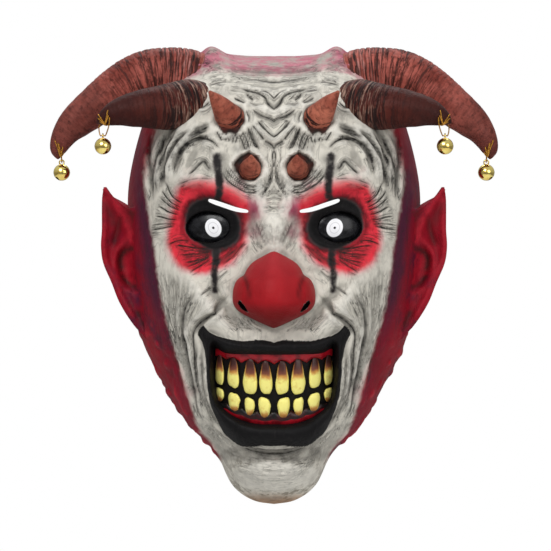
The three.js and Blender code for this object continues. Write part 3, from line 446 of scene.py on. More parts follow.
# Strands of a tie: its horn, the knot under the tip, then each strand's share of the way along and degrees up
STRANDS = {
    "back_bell_tie": ("back_horn", (154.0, -50.0, 37.4), ((0.925, 30), (0.93, 8), (0.94, -22))),
    "front_bell_tie": ("front_horn", (121.2, -97.4, 59.4),
                       ((0.965, 62), (0.985, 30), (0.985, -15), (0.9, 28), (0.915, 2))),
}
TIES = {  # points of each closed thread loop, the first inside the horn
    "back_bell_tie": (
        (155.6, -45, 47), (155.6, -53.2, 46), (154.2, -51.2, 40), (153.6, -47, 33.85), (153.6, -45, 33.85),
        (153.6, -43, 33.85), (154.2, -38.8, 40), (155.6, -36.8, 46),
    ),
    "front_bell_tie": (
        (119, -92, 65), (118.2, -100, 64.4), (118.6, -97.6, 59), (121, -91.5, 52.25), (123, -91.5, 52.25),
        (125, -91.5, 52.25), (125.6, -87, 59), (120.4, -84, 64.4),
    ),
}
SIDES = {"left": -1, "right": 1}


def srgb(red, green, blue):
    """A colour of 0 to 255 a channel, as it looks on a screen, in the linear values that shaders take."""
    share = np.array((red, green, blue)) / 255
    linear = np.where(share <= 0.04045, share / 12.92, ((share + 0.055) / 1.055) ** 2.4)
    return tuple(float(v) for v in linear)


class MaskSizes(bpy.types.PropertyGroup):
    """Sizes that a user would change."""

    bell_radius: bpy.props.FloatProperty(
        name="Bell radius", description="Outside radius of a jingle bell", default=6.0 * MM, unit="LENGTH")
    bell_wall: bpy.props.FloatProperty(
        name="Bell wall", description="Thickness of a bell's sheet", default=0.6 * MM, unit="LENGTH")
    bell_slot: bpy.props.FloatProperty(
        name="Bell slot", description="Width of the slot under a bell", default=1.3 * MM, unit="LENGTH")
    bell_wire: bpy.props.FloatProperty(
        name="Bell wire", description="Radius of the wire of a bell's eye", default=0.5 * MM, unit="LENGTH")
    bell_eye: bpy.props.FloatProperty(
        name="Bell eye", description="Radius of a bell's eye at mid wire", default=1.7 * MM, unit="LENGTH")
    thread_radius: bpy.props.FloatProperty(
        name="Thread radius", description="Radius of one of two plies", default=0.3 * MM, unit="LENGTH")
    fold_strength: bpy.props.FloatProperty(
        name="Fold strength", description="Share of the folds' depth", default=1.0, subtype="FACTOR")
    floor_drop: bpy.props.FloatProperty(
        name="Floor drop", description="How far the floor lies under the origin", default=1.4, unit="LENGTH")


def paint_property(label, *colour):
    """A colour that a user may change."""
    return bpy.props.FloatVectorProperty(name=label, description=f"Colour of the {label.lower()}", size=3,
                                         subtype="COLOR", default=srgb(*colour), min=0, max=1)


class MaskPaints(bpy.types.PropertyGroup):
    """Paints that a user would change."""

    white: paint_property("White latex", 214, 209, 197)
    grey: paint_property("Grey wash", 166, 162, 152)
    # Near white of the painted highlight on raised white skin.
    shine: paint_property("Ridge white", 232, 228, 218)
    # Dark of the folds: dark paint and painted shade in the creases and hollows.
    ink: paint_property("Fold ink", 34, 32, 30)
    maroon: paint_property("Maroon sides", 138, 9, 30)
    purple: paint_property("Purple shade", 74, 24, 48)
    pink: paint_property("Pink crown", 186, 108, 124)
    red: paint_property("Red eye patch", 226, 52, 66)
    red_edge: paint_property("Red patch edge", 212, 92, 112)
    red_deep: paint_property("Red patch shade", 146, 12, 28)
    black: paint_property("Black paint", 15, 14, 15)
    # Lighter grey of the painted sheen on the black paint.
    black_sheen: paint_property("Black paint sheen", 34, 30, 31)
    smoke: paint_property("Edge of the black paint", 60, 54, 54)
    nose: paint_property("Red nose", 160, 22, 30)
    nose_deep: paint_property("Nose mottle", 140, 8, 18)
    nose_shade: paint_property("Nose shade", 84, 4, 10)
    nose_light: paint_property("Nose light", 182, 64, 70)
    bare: paint_property("Bare latex", 188, 176, 154)
    chin: paint_property("Chin shade", 112, 102, 84)
    chin_edge: paint_property("Chin edge", 188, 138, 92)
    blush: paint_property("Purple blush", 168, 66, 96)
    rust: paint_property("Rusty skin", 82, 32, 24)
    # Lighter red of the painted highlight on raised red and maroon skin, such as the ear's ridges.
    ear: paint_property("Red highlight", 188, 34, 50)
    lid: paint_property("Lid red", 74, 8, 18)
    back_skin: paint_property("Back horn skin", 178, 120, 112)
    front_skin: paint_property("Front horn skin", 164, 132, 116)
    horn: paint_property("Horn brown", 128, 56, 46)
    horn_light: paint_property("Horn light", 176, 92, 80)
    horn_deep: paint_property("Front horn brown", 60, 13, 8)
    # Dark of the horns' streaks and specks, and of the painted shade in the ribs' and the nose's creases.
    horn_dark: paint_property("Horn streak", 28, 14, 13)
    horn_tip: paint_property("Horn tip", 46, 20, 17)
    brow: paint_property("Brow horn tan", 142, 72, 56)
    brow_light: paint_property("Brow horn light", 184, 106, 84)
    tooth: paint_property("Tooth yellow", 250, 240, 138)
    tooth_stain: paint_property("Tooth stain", 226, 200, 96)
    tooth_amber: paint_property("Tooth amber", 206, 146, 70)
    tooth_brown: paint_property("Tooth brown", 118, 66, 50)
    root: paint_property("Tooth root", 66, 34, 30)
    gum: paint_property("Gum red", 168, 16, 32)
    gum_deep: paint_property("Gum shade", 64, 6, 14)
    eye: paint_property("Eye black", 9, 9, 11)
    # Lighter grey of the painted glints on the black eye.
    eye_glints: paint_property("Eye mottle", 30, 30, 34)
    eye_ring: paint_property("Eye ring", 120, 120, 126)
    disc: paint_property("Eye disc", 244, 244, 246)
    gold: paint_property("Bell gold", 255, 234, 140)
    gold_deep: paint_property("Gold shade", 232, 190, 92)
    thread: paint_property("Gold thread", 206, 150, 52)
    thread_deep: paint_property("Thread shade", 120, 76, 22)
    floor: paint_property("Floor", 240, 240, 238)


def sizes():
    return bpy.context.scene.mask_sizes


def paint(name):
    return (*getattr(bpy.context.scene.mask_paints, name), 1.0)


# Numbers


def smoothstep(value, low, high):
    share = np.clip((value - low) / (high - low), 0, 1)
    return share * share * (3 - 2 * share)


def band(value, low, full_from, full_to, high):
    """1 between two values, fading away on both sides of them."""
    return smoothstep(value, low, full_from) * (1 - smoothstep(value, full_to, high))


def hump(gap, width):
    """1 where the gap is nought, fading away over about two widths."""
    return np.exp(-((gap / width) ** 2))


def darker(ink, more):
    """Two layers of dark paint and painted shade, one over the other."""
    return 1 - (1 - ink) * (1 - more)


def curve_through(at, of):
    """A smooth curve through points, as a function of one coordinate that rises or falls steadily."""
    order = np.argsort(at)
    at, of = np.asarray(at, float)[order], np.asarray(of, float)[order]
    count = len(at)
    before, after = np.maximum(np.arange(count) - 1, 0), np.minimum(np.arange(count) + 1, count - 1)
    slope = (of[after] - of[before]) / (at[after] - at[before])

    def value(where):
        where = np.clip(where, at[0], at[-1])
        i = np.clip(np.searchsorted(at, where, side="right") - 1, 0, count - 2)
        span = at[i + 1] - at[i]
        t = (where - at[i]) / span
        bend = slope[i] * span * t * (1 - t) ** 2 - slope[i + 1] * span * t * t * (1 - t)
        return of[i] + (of[i + 1] - of[i]) * t * t * (3 - 2 * t) + bend

    return value


def half_face(pixels):
    """Points of the photograph's left half as distance from the middle and height, in millimetres."""
    at = np.array(pixels, float)
    return np.column_stack(((PHOTO_AXIS - at[:, 0]) * PHOTO_SCALE, (PHOTO_LEVEL - at[:, 1]) * PHOTO_SCALE))


def smooth_path(points, per_span=6, closed=False):
    """Points on a Catmull-Rom curve through a few points of any number of axes."""
    points = np.asarray(points, float)
    if closed:
        padded = np.vstack((points[-1], points, points[:2]))
    else:
        padded = np.vstack((2 * points[0] - points[1], points, 2 * points[-1] - points[-2]))
    t = np.linspace(0, 1, per_span, endpoint=False)[:, None]
    spans = []
    for a, b, c, d in zip(padded, padded[1:], padded[2:], padded[3:]):
        line = 2 * b + (c - a) * t
        spans.append(0.5 * (line + (2 * a - 5 * b + 4 * c - d) * t**2 + (3 * b - a - 3 * c + d) * t**3))
    if not closed:
        spans.append(points[-1:])
    return np.vstack(spans)


def photo_path(pixels):
    """A smooth path through points of the photograph, in millimetres."""
    return smooth_path(half_face(pixels))


def walked(path):
    """The way walked from a path's start to each of its points."""
    return np.concatenate(([0], np.cumsum(np.linalg.norm(np.diff(path, axis=0), axis=1))))


def even_path(points, step):
    """A path walked at equal steps, as near to step as fits."""
    lengths = walked(points)
    at = np.linspace(0, lengths[-1], max(int(round(lengths[-1] / step)), 2) + 1)
    return np.column_stack([np.interp(at, lengths, points[:, k]) for k in range(points.shape[1])])


def to_path(points, path):
    """Distance from each point to a path, and the share of the path's length at the nearest place."""
    best = np.full(len(points), np.inf)
    share = np.zeros(len(points))
    lengths = walked(path)
    for i, (a, b) in enumerate(zip(path, path[1:])):
        run = b - a
        t = np.clip((points - a) @ run / max(run @ run, 1e-12), 0, 1)
        gap = np.linalg.norm(points - a - t[:, None] * run, axis=1)
        closer = gap < best
        best[closer] = gap[closer]
        share[closer] = ((lengths[i] + t * (lengths[i + 1] - lengths[i])) / lengths[-1])[closer]
    return best, share


def inside_outline(points, outline):
    """Signed distance to a closed outline, less than zero inside it."""
    gap, _ = to_path(points, np.vstack((outline, outline[:1])))
    odd = np.zeros(len(points), bool)
    for a, b in zip(outline, np.roll(outline, -1, axis=0)):
        crosses = (a[1] > points[:, 1]) != (b[1] > points[:, 1])
        with np.errstate(divide="ignore", invalid="ignore"):
            at = a[0] + (points[:, 1] - a[1]) * (b[0] - a[0]) / (b[1] - a[1])
        odd ^= crosses & (points[:, 0] < at)
    return np.where(odd, -gap, gap)


def within(points, others, margin):
    """Which points lie in the box round some others, grown by a margin."""
    return ((points >= others.min(0) - margin) & (points <= others.max(0) + margin)).all(1)


def nearest(points, others):
    """For each point, which of some others is nearest, and how far away it is."""
    which, gaps = [], []
    for chunk in np.array_split(points, 1 + len(points) // NEAREST_CHUNK):
        squares = ((chunk[:, None] - others[None]) ** 2).sum(2)
        which.append(squares.argmin(1))
        gaps.append(np.sqrt(squares.min(1)))
    return np.concatenate(which), np.concatenate(gaps)


def lattice_noise(points, cell, seed):
    """Smooth noise from -1 to 1 with features of about one cell."""
    table = np.random.default_rng(seed).uniform(-1, 1, NOISE_VALUES)
    scaled = np.asarray(points, float) / cell
    base = np.floor(scaled).astype(int)
    part = scaled - base
    part = part * part * (3 - 2 * part)
    axes = scaled.shape[1]
    total = np.zeros(len(scaled))
    for corner in range(2**axes):
        offset = [(corner >> k) & 1 for k in range(axes)]
        weight = np.prod([part[:, k] if offset[k] else 1 - part[:, k] for k in range(axes)], axis=0)
        key = np.bitwise_xor.reduce([(base[:, k] + offset[k]) * NOISE_PRIMES[k] for k in range(axes)])
        total += weight * table[key % NOISE_VALUES]
    return total


def lumpy(points, layers):
    """Noise in several layers, each with its height, size and seed."""
    return sum(height * lattice_noise(points, size, seed) for height, size, seed in layers)


# Blender helpers


def deselect_all():
    if bpy.context.object and bpy.context.object.mode != "OBJECT":
        bpy.ops.object.mode_set(mode="OBJECT")
    bpy.ops.object.select_all(action="DESELECT")


def only(obj):
    """Makes one object the selected and active one."""
    deselect_all()
    obj.select_set(True)
    bpy.context.view_layer.objects.active = obj
    return obj


def add_mesh(add, name, **settings):
    """A mesh from one of Blender's add operators, with its place, turn and scale applied."""
    deselect_all()
    add(**settings)
    obj = bpy.context.object
    obj.name = name
    bpy.ops.object.transform_apply(location=True, rotation=True, scale=True)
    return obj


def add_grid(name, columns, rows):
    cells = {"x_subdivisions": columns, "y_subdivisions": rows}
    return add_mesh(bpy.ops.mesh.primitive_grid_add, name, size=2, **cells)


def add_ball(name, sides, rings, radius=1.0, **settings):
    return add_mesh(bpy.ops.mesh.primitive_uv_sphere_add, name, segments=sides, ring_count=rings,
                    radius=radius, **settings)


def add_disc(name, sides, radius=1.0):
    return add_mesh(bpy.ops.mesh.primitive_circle_add, name, vertices=sides, radius=radius, fill_type="NGON")


def face_outward(obj):
    """Turns every face of a closed mesh outward."""
    only(obj)
    bpy.ops.object.mode_set(mode="EDIT")
    bpy.ops.mesh.select_all(action="SELECT")
    bpy.ops.mesh.normals_make_consistent(inside=False)
    bpy.ops.object.mode_set(mode="OBJECT")
    return obj


def read_points(obj):
    """A mesh's points in millimetres."""
    flat = np.empty(len(obj.data.vertices) * 3)
    obj.data.vertices.foreach_get("co", flat)
    return flat.reshape(-1, 3) / MM


def write_points(obj, points):
    obj.data.vertices.foreach_set("co", (points * MM).ravel())
    obj.data.update()


def store(obj, name, values):
    """Keeps one number, or one vector, for each point of a mesh."""
    values = np.asarray(values, float)
    kind = "FLOAT" if values.ndim == 1 else "FLOAT_VECTOR"
    kept = obj.data.attributes.get(name) or obj.data.attributes.new(name, kind, "POINT")
    kept.data.foreach_set("value" if values.ndim == 1 else "vector", values.ravel())


def recall(obj, name):
    """The numbers that store keeps."""
    values = np.empty(len(obj.data.vertices))
    obj.data.attributes[name].data.foreach_get("value", values)
    return values


def apply_modifier(obj, kind, **settings):
    only(obj)
    modifier = obj.modifiers.new(kind.lower(), kind)
    for key, value in settings.items():
        setattr(modifier, key, value)
    bpy.ops.object.modifier_apply(modifier=modifier.name)


def carve(obj, tool, operation, **seam):
    """Joins or cuts one mesh with another, which is then removed. seam gives the paint along the cut."""
    for each in (obj, tool):
        store(each, "known", np.ones(len(each.data.vertices)))
    before = len(obj.data.vertices)
    apply_modifier(obj, "BOOLEAN", operation=operation, solver="MANIFOLD", object=tool)
    if len(obj.data.vertices) in (0, before):
        raise RuntimeError(f"{tool.name} didn't change {obj.name}")
    bpy.data.objects.remove(tool)
    return paint_seam(obj, seam)


def paint_seam(obj, seam):
    """Gives each point that a cut made the nearest older point's paint, or the stated one. Tells which."""
    new = recall(obj, "known") < 0.999
    if not new.any():
        return new
    points = read_points(obj)
    old = np.flatnonzero(~new & within(points, points[new], SEAM_MARGIN))
    like, _ = nearest(points[new], points[old])
    for kept in list(obj.data.attributes):
        if kept.domain == "POINT" and kept.data_type == "FLOAT" and kept.name != "known":
            values = recall(obj, kept.name)
            values[new] = seam.get(kept.name, values[old[like]])
            store(obj, kept.name, values)
    return new


def soften_seam(obj, seam, reach, rounds):
    """Rounds the surface off within a reach of a seam's points."""
    points = read_points(obj)
    near = np.flatnonzero(within(points, points[seam], reach))
    _, gap = nearest(points[near], points[seam])
    weight = np.zeros(len(points))
    weight[near] = SEAM_SOFTNESS * (1 - smoothstep(gap, 0.3 * reach, reach))
    edges = np.empty(len(obj.data.edges) * 2, int)
    obj.data.edges.foreach_get("vertices", edges)
    a, b = edges.reshape(-1, 2).T
    touched = (weight[a] > 0) | (weight[b] > 0)
    a, b = a[touched], b[touched]
    count = np.bincount(a, minlength=len(points)) + np.bincount(b, minlength=len(points))
    for _ in range(rounds):
        total = np.zeros_like(points)
        np.add.at(total, a, points[b])
        np.add.at(total, b, points[a])
        points += weight[:, None] * (total / np.maximum(count, 1)[:, None] - points)
    write_points(obj, points)


def join(first, *others):
    only(first)
    for other in others:
        other.select_set(True)
    bpy.ops.object.join()
    return first


def copied(obj):
    """A copy with its own mesh."""
    twin = obj.copy()
    twin.data = obj.data.copy()
    bpy.context.collection.objects.link(twin)
    return twin


def swap_sides(obj):
    """Moves a mesh to the other side of the middle, as its own mirror image."""
    obj.data.transform(Matrix.Scale(-1, 4, (1, 0, 0)))
    obj.data.flip_normals()
    return obj


def finish_piece(obj, name, material, slot, body, *nodes, angle=50):
    """Names, shades and paints a piece and hands it to its body."""
    only(obj)
    if "known" in obj.data.attributes:
        obj.data.attributes.remove(obj.data.attributes["known"])
    bpy.ops.object.transform_apply(location=True, rotation=True, scale=True)
    bpy.ops.object.shade_smooth_by_angle(angle=math.radians(angle))
    obj.name = obj.data.name = name
    obj.data.materials.clear()
    obj.data.materials.append(material)
    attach(obj, body)
    if nodes:
        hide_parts(*nodes)
    return obj


def finish_pair(right, piece, node, material, slot, angle=50, body=None):
    """Finishes a piece of the right side and its mirror image, on the mask or each on its own body."""
    for obj, place in ((right, "right"), (swap_sides(copied(right)), "left")):
        rides = f"{body}_{place}" if body else "mask"
        finish_piece(obj, f"{piece}_{place}", material, slot, rides, f"{node}_{place}", angle=angle)


# Shader helpers


def feed(tree, socket, value):
    """Puts a value or a link on a socket."""
    if isinstance(value, bpy.types.NodeSocket):
        tree.links.new(value, socket)
    else:
        socket.default_value = value


def dress(tree, node, inputs):
    """Puts values or links on a node's sockets."""
    for key, value in inputs.items():
        feed(tree, node.inputs[key], value)
    return node


def add_node(tree, kind, inputs=None, **settings):
    """A shader node with its settings, and with values or links on its sockets."""
    node = tree.nodes.new("ShaderNode" + kind)
    for key, value in settings.items():
        setattr(node, key, value)
    return dress(tree, node, inputs or {})


def blend(tree, share, first, second):
    """One colour laid over another."""
    inputs = {0: share, 6: first, 7: second}
    return add_node(tree, "Mix", inputs, data_type="RGBA").outputs[2]


def calculate(tree, operation, first, second=0.0, third=0.0, clamp=False):
    inputs = {0: first, 1: second, 2: third}
    return add_node(tree, "Math", inputs, operation=operation, use_clamp=clamp).outputs[0]


def times(tree, first, second):
    return calculate(tree, "MULTIPLY", first, second)


def centred(tree, value):
    """Noise brought from 0 to 1 down to -0.5 to 0.5."""
    return calculate(tree, "SUBTRACT", value, 0.5)


def remap(tree, value, low, high, to_low=0.0, to_high=1.0):
    inputs = {"Value": value, "From Min": low, "From Max": high, "To Min": to_low, "To Max": to_high}
    return add_node(tree, "MapRange", inputs, interpolation_type="SMOOTHSTEP").outputs["Result"]


def attribute(tree, name, output="Fac"):
    return add_node(tree, "Attribute", attribute_name=name).outputs[output]


def object_place(tree):
    return add_node(tree, "TexCoord").outputs["Object"]


def stretched(tree, vector, scale):
    return add_node(tree, "VectorMath", {0: vector, 1: scale}, operation="MULTIPLY").outputs[0]


def noise(tree, vector, scale, detail=4.0, roughness=0.55, distortion=0.0):
    inputs = {"Vector": vector, "Scale": scale, "Detail": detail, "Roughness": roughness,
              "Distortion": distortion}
    return add_node(tree, "TexNoise", inputs).outputs["Fac"]


def winding_lines(tree, vector, scale, width):
    """Thin winding lines."""
    off = calculate(tree, "ABSOLUTE", centred(tree, noise(tree, vector, scale, 3, 0.5, 0.5)))
    return remap(tree, off, width, 0.0)


def bump(tree, height, strength, distance):
    inputs = {"Height": height, "Strength": strength, "Distance": distance * MM}
    return add_node(tree, "Bump", inputs).outputs["Normal"]


def new_material(name):
    material = bpy.data.materials.new(name)
    material.use_nodes = True
    tree = material.node_tree
    return material, tree, tree.nodes["Principled BSDF"]


def new_group(name, inputs, outputs):
    """A shader group with named float or colour sockets."""
    tree = bpy.data.node_groups.new(name, "ShaderNodeTree")
    for direction, sockets in (("INPUT", inputs), ("OUTPUT", outputs)):
        for label, kind in sockets:
            tree.interface.new_socket(label, in_out=direction, socket_type="NodeSocket" + kind)
    return tree, tree.nodes.new("NodeGroupInput").outputs, tree.nodes.new("NodeGroupOutput").inputs


def place_group(tree, name, make, inputs):
    """A shared shader group, made the first time that it is asked for."""
    node = tree.nodes.new("ShaderNodeGroup")
    node.node_tree = bpy.data.node_groups.get(name) or make(name)
    return dress(tree, node, inputs).outputs


def latex_grain_group(name):
    """Pores and brushed unevenness of cast latex: a height and a roughness."""
    tree, start, end = new_group(name, (("Scale", "Float"), ("Gloss", "Float")),
                                 (("Height", "Float"), ("Roughness", "Float")))
    place = object_place(tree)
    pores = noise(tree, place, start["Scale"], 3, 0.6)
    lumps = noise(tree, place, times(tree, start["Scale"], 0.18), 4, 0.6)
    feed(tree, end["Height"], calculate(tree, "ADD", times(tree, pores, 0.35), lumps))
    feed(tree, end["Roughness"], calculate(tree, "MULTIPLY_ADD", lumps, 0.3, start["Gloss"]))
    return tree


def shade_and_wash_group(name):
    """A dark colour over a colour: painted shade and dark paint in creases, and uneven blotches of thin dark
    paint.
    """
    inputs = (("Paint", "Color"), ("Wash", "Color"), ("Crease", "Float"), ("Blotches", "Float"))
    tree, start, end = new_group(name, inputs, (("Color", "Color"), ("Mask", "Float")))
    place = object_place(tree)
    broad = noise(tree, place, 34, 5, 0.62)
    fine = noise(tree, place, 210, 4, 0.65)
    blotch = times(tree, remap(tree, broad, 0.48, 0.72), start["Blotches"])
    crease = times(tree, start["Crease"], calculate(tree, "MULTIPLY_ADD", fine, 0.9, 0.55))
    mask = calculate(tree, "MAXIMUM", crease, blotch, clamp=True)
    feed(tree, end["Mask"], mask)
    feed(tree, end["Color"], blend(tree, mask, start["Paint"], start["Wash"]))
    return tree


def latex_grain(tree, scale, gloss):
    return place_group(tree, "latex_grain", latex_grain_group, {"Scale": scale, "Gloss": gloss})


def hand_wash(tree, coat, wash, crease, blotches):
    inputs = {"Paint": coat, "Wash": paint(wash), "Crease": crease, "Blotches": blotches}
    return place_group(tree, "hand_wash", shade_and_wash_group, inputs)["Color"]


# Materials


def wrinkle_lines(tree, upright, broad, fine):
    """Lines drawn along the folds as dark paint and painted shade, strands that follow them, and hairlines
    all over.
    """
    flow = attribute(tree, "flow", "Vector")
    off = calculate(tree, "ABSOLUTE", add_node(tree, "SeparateXYZ", {0: flow}).outputs["X"])
    off = calculate(tree, "ADD", off, times(tree, centred(tree, fine), 0.9))
    strength = calculate(tree, "MINIMUM", times(tree, attribute(tree, "line"), 1.7), 1.0)
    drawn = times(tree, remap(tree, off, 0.85, 0.2), strength)
    beside = times(tree, attribute(tree, "beside"), remap(tree, broad, 0.35, 0.6, 0.5, 1.0))
    strands = times(tree, winding_lines(tree, flow, 0.5, 0.075), beside)
    hairs = calculate(tree, "MAXIMUM", winding_lines(tree, upright, 55, 0.022),
                      winding_lines(tree, upright, 95, 0.02))
    hairs = times(tree, hairs, remap(tree, broad, 0.38, 0.62, 0.1, 0.4))
    return calculate(tree, "MAXIMUM", calculate(tree, "MAXIMUM", strands, hairs), drawn)


def nose_paint(tree, height, broad):
    """Red with painted light on top, painted shade below and darker painted shade in the creases of the
    wings.
    """
    ball = blend(tree, remap(tree, broad, 0.4, 0.7), paint("nose"), paint("nose_deep"))
    plain, shaded, light = (z * MM for z in NOSE_TONES_Z)
    ball = blend(tree, remap(tree, height, plain, shaded, 0.0, 0.55), ball, paint("nose_shade"))
    ball = blend(tree, remap(tree, height, plain, light, 0.0, 0.4), ball, paint("nose_light"))
    return blend(tree, times(tree, attribute(tree, "ink"), 0.8), ball, paint("horn_dark"))


def face_material():
    """Painted latex: white front with dark paint and painted shade in its folds, painted highlights on raised
    skin, maroon sides, red and black make-up, bare inside.
    """
    material, tree, shader = new_material("painted_latex")
    place = object_place(tree)
    upright = stretched(tree, place, UPRIGHT_GRAIN)
    height = add_node(tree, "SeparateXYZ", {0: place}).outputs["Z"]
    broad = noise(tree, place, 26, 5, 0.6)
    mottle = noise(tree, place, 80, 5, 0.65)
    fine = noise(tree, place, 170, 5, 0.62)

    def ragged(name, amount, low, high):
        """A paint's mask with an uneven, airbrushed edge."""
        shift = times(tree, centred(tree, fine), amount)
        return remap(tree, calculate(tree, "ADD", attribute(tree, name), shift), low, high)

    scored = wrinkle_lines(tree, upright, broad, fine)
    front = blend(tree, remap(tree, mottle, 0.42, 0.7, 0.0, 0.75), paint("white"), paint("grey"))
    speckle = times(tree, attribute(tree, "chin"), remap(tree, fine, 0.46, 0.64, 0.0, 0.8))
    front = blend(tree, speckle, front, paint("chin"))
    low = calculate(tree, "ADD", height, times(tree, fine, 0.012))
    front = blend(tree, remap(tree, low, *(z * MM for z in CHIN_EDGE_Z)), front, paint("chin_edge"))
    sides = blend(tree, remap(tree, broad, 0.48, 0.72), paint("maroon"), paint("purple"))
    sides = blend(tree, attribute(tree, "shade"), sides, paint("purple"))
    coat = blend(tree, ragged("maroon", 0.8, 0.1, 0.9), front, sides)
    crown = blend(tree, remap(tree, mottle, 0.4, 0.7), paint("pink"), paint("grey"))
    coat = blend(tree, ragged("pink", 1.0, 0.2, 1.0), coat, crown)
    coat = blend(tree, ragged("blush", 0.6, 0.1, 1.1), coat, paint("blush"))
    patch = blend(tree, remap(tree, attribute(tree, "red"), 0.3, 0.75), paint("red_edge"), paint("red"))
    patch = blend(tree, remap(tree, mottle, 0.42, 0.7, 0.0, 0.55), patch, paint("red_deep"))
    patch = blend(tree, ragged("lid", 0.9, 0.25, 1.0), patch, paint("lid"))
    coat = blend(tree, ragged("red", 0.45, 0.08, 0.78), coat, patch)
    coat = blend(tree, ragged("rust", 0.5, 0.2, 0.8), coat, paint("rust"))
    # Dark paint and painted shade in the folds and hollows, with blotches of thin dark paint.
    crease = calculate(tree, "MAXIMUM", attribute(tree, "ink"), times(tree, scored, 0.92))
    coat = hand_wash(tree, coat, "ink", crease, 0.1)
    # Painted highlight on raised skin: near white on white paint, lighter red on red and maroon.
    reddish = calculate(tree, "MAXIMUM", attribute(tree, "maroon"), attribute(tree, "red"))
    lit = times(tree, attribute(tree, "ridge"), remap(tree, fine, 0.35, 0.6, 0.25, 0.65))
    coat = blend(tree, lit, coat, blend(tree, reddish, paint("shine"), paint("ear")))
    # Painted sheen: lighter grey upright streaks on the black paint.
    sheen = remap(tree, noise(tree, upright, 420, 3, 0.6), 0.5, 0.75, 0.0, 0.5)
    soot = blend(tree, sheen, paint("black"), paint("black_sheen"))
    smoke = blend(tree, remap(tree, attribute(tree, "soot"), 0.4, 0.95), paint("smoke"), soot)
    coat = blend(tree, ragged("soot", 1.0, 0.18, 0.8), coat, smoke)
    coat = blend(tree, ragged("black", 0.5, 0.3, 0.7), coat, soot)
    on_nose = remap(tree, attribute(tree, "nose"), 0.46, 0.54)
    coat = blend(tree, on_nose, coat, nose_paint(tree, height, broad))
    coat = blend(tree, attribute(tree, "bare"), coat, paint("bare"))
    skin = latex_grain(tree, 420.0, 0.42)
    relief = calculate(tree, "SUBTRACT", skin["Height"], times(tree, scored, 1.2))
    dress(tree, shader, {"Base Color": coat, "Roughness": skin["Roughness"], "Specular IOR Level": 0.14,
                         "Normal": bump(tree, relief, 0.5, 0.7)})
    return material


def horn_material(name, base, light, skin, streaks, pattern):
    """Painted horn: broken dark rings across it, thickest near its root, where skin is drawn up on it, and
    painted shade in the creases between its ribs.
    """
    material, tree, shader = new_material(name)
    ring = stretched(tree, attribute(tree, "ring_place", "Vector"), RING_GRAIN)
    line = noise(tree, ring, pattern, 4, 0.65, 0.4)
    strands = remap(tree, noise(tree, ring, 1.3 * pattern, 4, 0.7, 0.5), 0.48, 0.62)
    place = object_place(tree)
    broad = noise(tree, place, 45, 5, 0.6)
    fine = noise(tree, place, 260, 4, 0.6)
    pits = remap(tree, noise(tree, place, 340, 5, 0.7), 0.54, 0.72, 0.0, 0.35)
    coat = blend(tree, remap(tree, broad, 0.38, 0.66), paint(light), paint(base))
    coat = blend(tree, remap(tree, fine, 0.48, 0.72, 0.0, 0.7), coat, paint("rust"))
    coat = blend(tree, pits, coat, paint("horn_dark"))
    coat = blend(tree, times(tree, strands, attribute(tree, "skin")), coat, paint(skin))
    thick = remap(tree, attribute(tree, "root"), 0.0, 0.8, 0.16, streaks)
    broken = times(tree, remap(tree, line, 0.51, 0.58), thick)
    coat = blend(tree, broken, coat, paint("horn_dark"))
    coat = blend(tree, times(tree, attribute(tree, "tip"), 0.62), coat, paint("horn_tip"))
    # Painted shade in the creases between the ribs, with blotches of thin dark paint.
    coat = hand_wash(tree, coat, "horn_dark", attribute(tree, "rib"), 0.42)
    cast = latex_grain(tree, 380.0, 0.4)
    cuts = times(tree, calculate(tree, "ADD", broken, pits), 1.4)
    height = calculate(tree, "SUBTRACT", cast["Height"], cuts)
    dress(tree, shader, {"Base Color": coat, "Roughness": cast["Roughness"], "Specular IOR Level": 0.16,
                         "Normal": bump(tree, height, 0.6, 0.8)})
    return material


def tooth_material():
    """Yellow painted teeth that turn brown at the root, in a red and black gum."""
    material, tree, shader = new_material("painted_teeth")
    place = object_place(tree)
    fine = noise(tree, place, 240, 4, 0.6)
    coat = blend(tree, remap(tree, fine, 0.5, 0.8), paint("tooth"), paint("tooth_stain"))
    shift = times(tree, centred(tree, fine), 0.35)
    rooted = calculate(tree, "ADD", attribute(tree, "root"), shift)
    for low, high, tint in ((0.04, 0.34, "tooth_amber"), (0.26, 0.6, "tooth_brown"), (0.55, 1.0, "root")):
        coat = blend(tree, remap(tree, rooted, low, high), coat, paint(tint))
    red = remap(tree, calculate(tree, "ADD", attribute(tree, "gum_red"), shift), 0.35, 0.65)
    gum = blend(tree, red, paint("black"), paint("gum"))
    deep = remap(tree, noise(tree, place, 130, 4, 0.6), 0.42, 0.66, 0.0, 0.75)
    gum = blend(tree, deep, gum, paint("gum_deep"))
    skin = latex_grain(tree, 600.0, 0.2)
    dress(tree, shader, {"Base Color": blend(tree, attribute(tree, "gum"), coat, gum),
                         "Roughness": skin["Roughness"], "Specular IOR Level": 0.35,
                         "Normal": bump(tree, skin["Height"], 0.18, 0.4)})
    return material


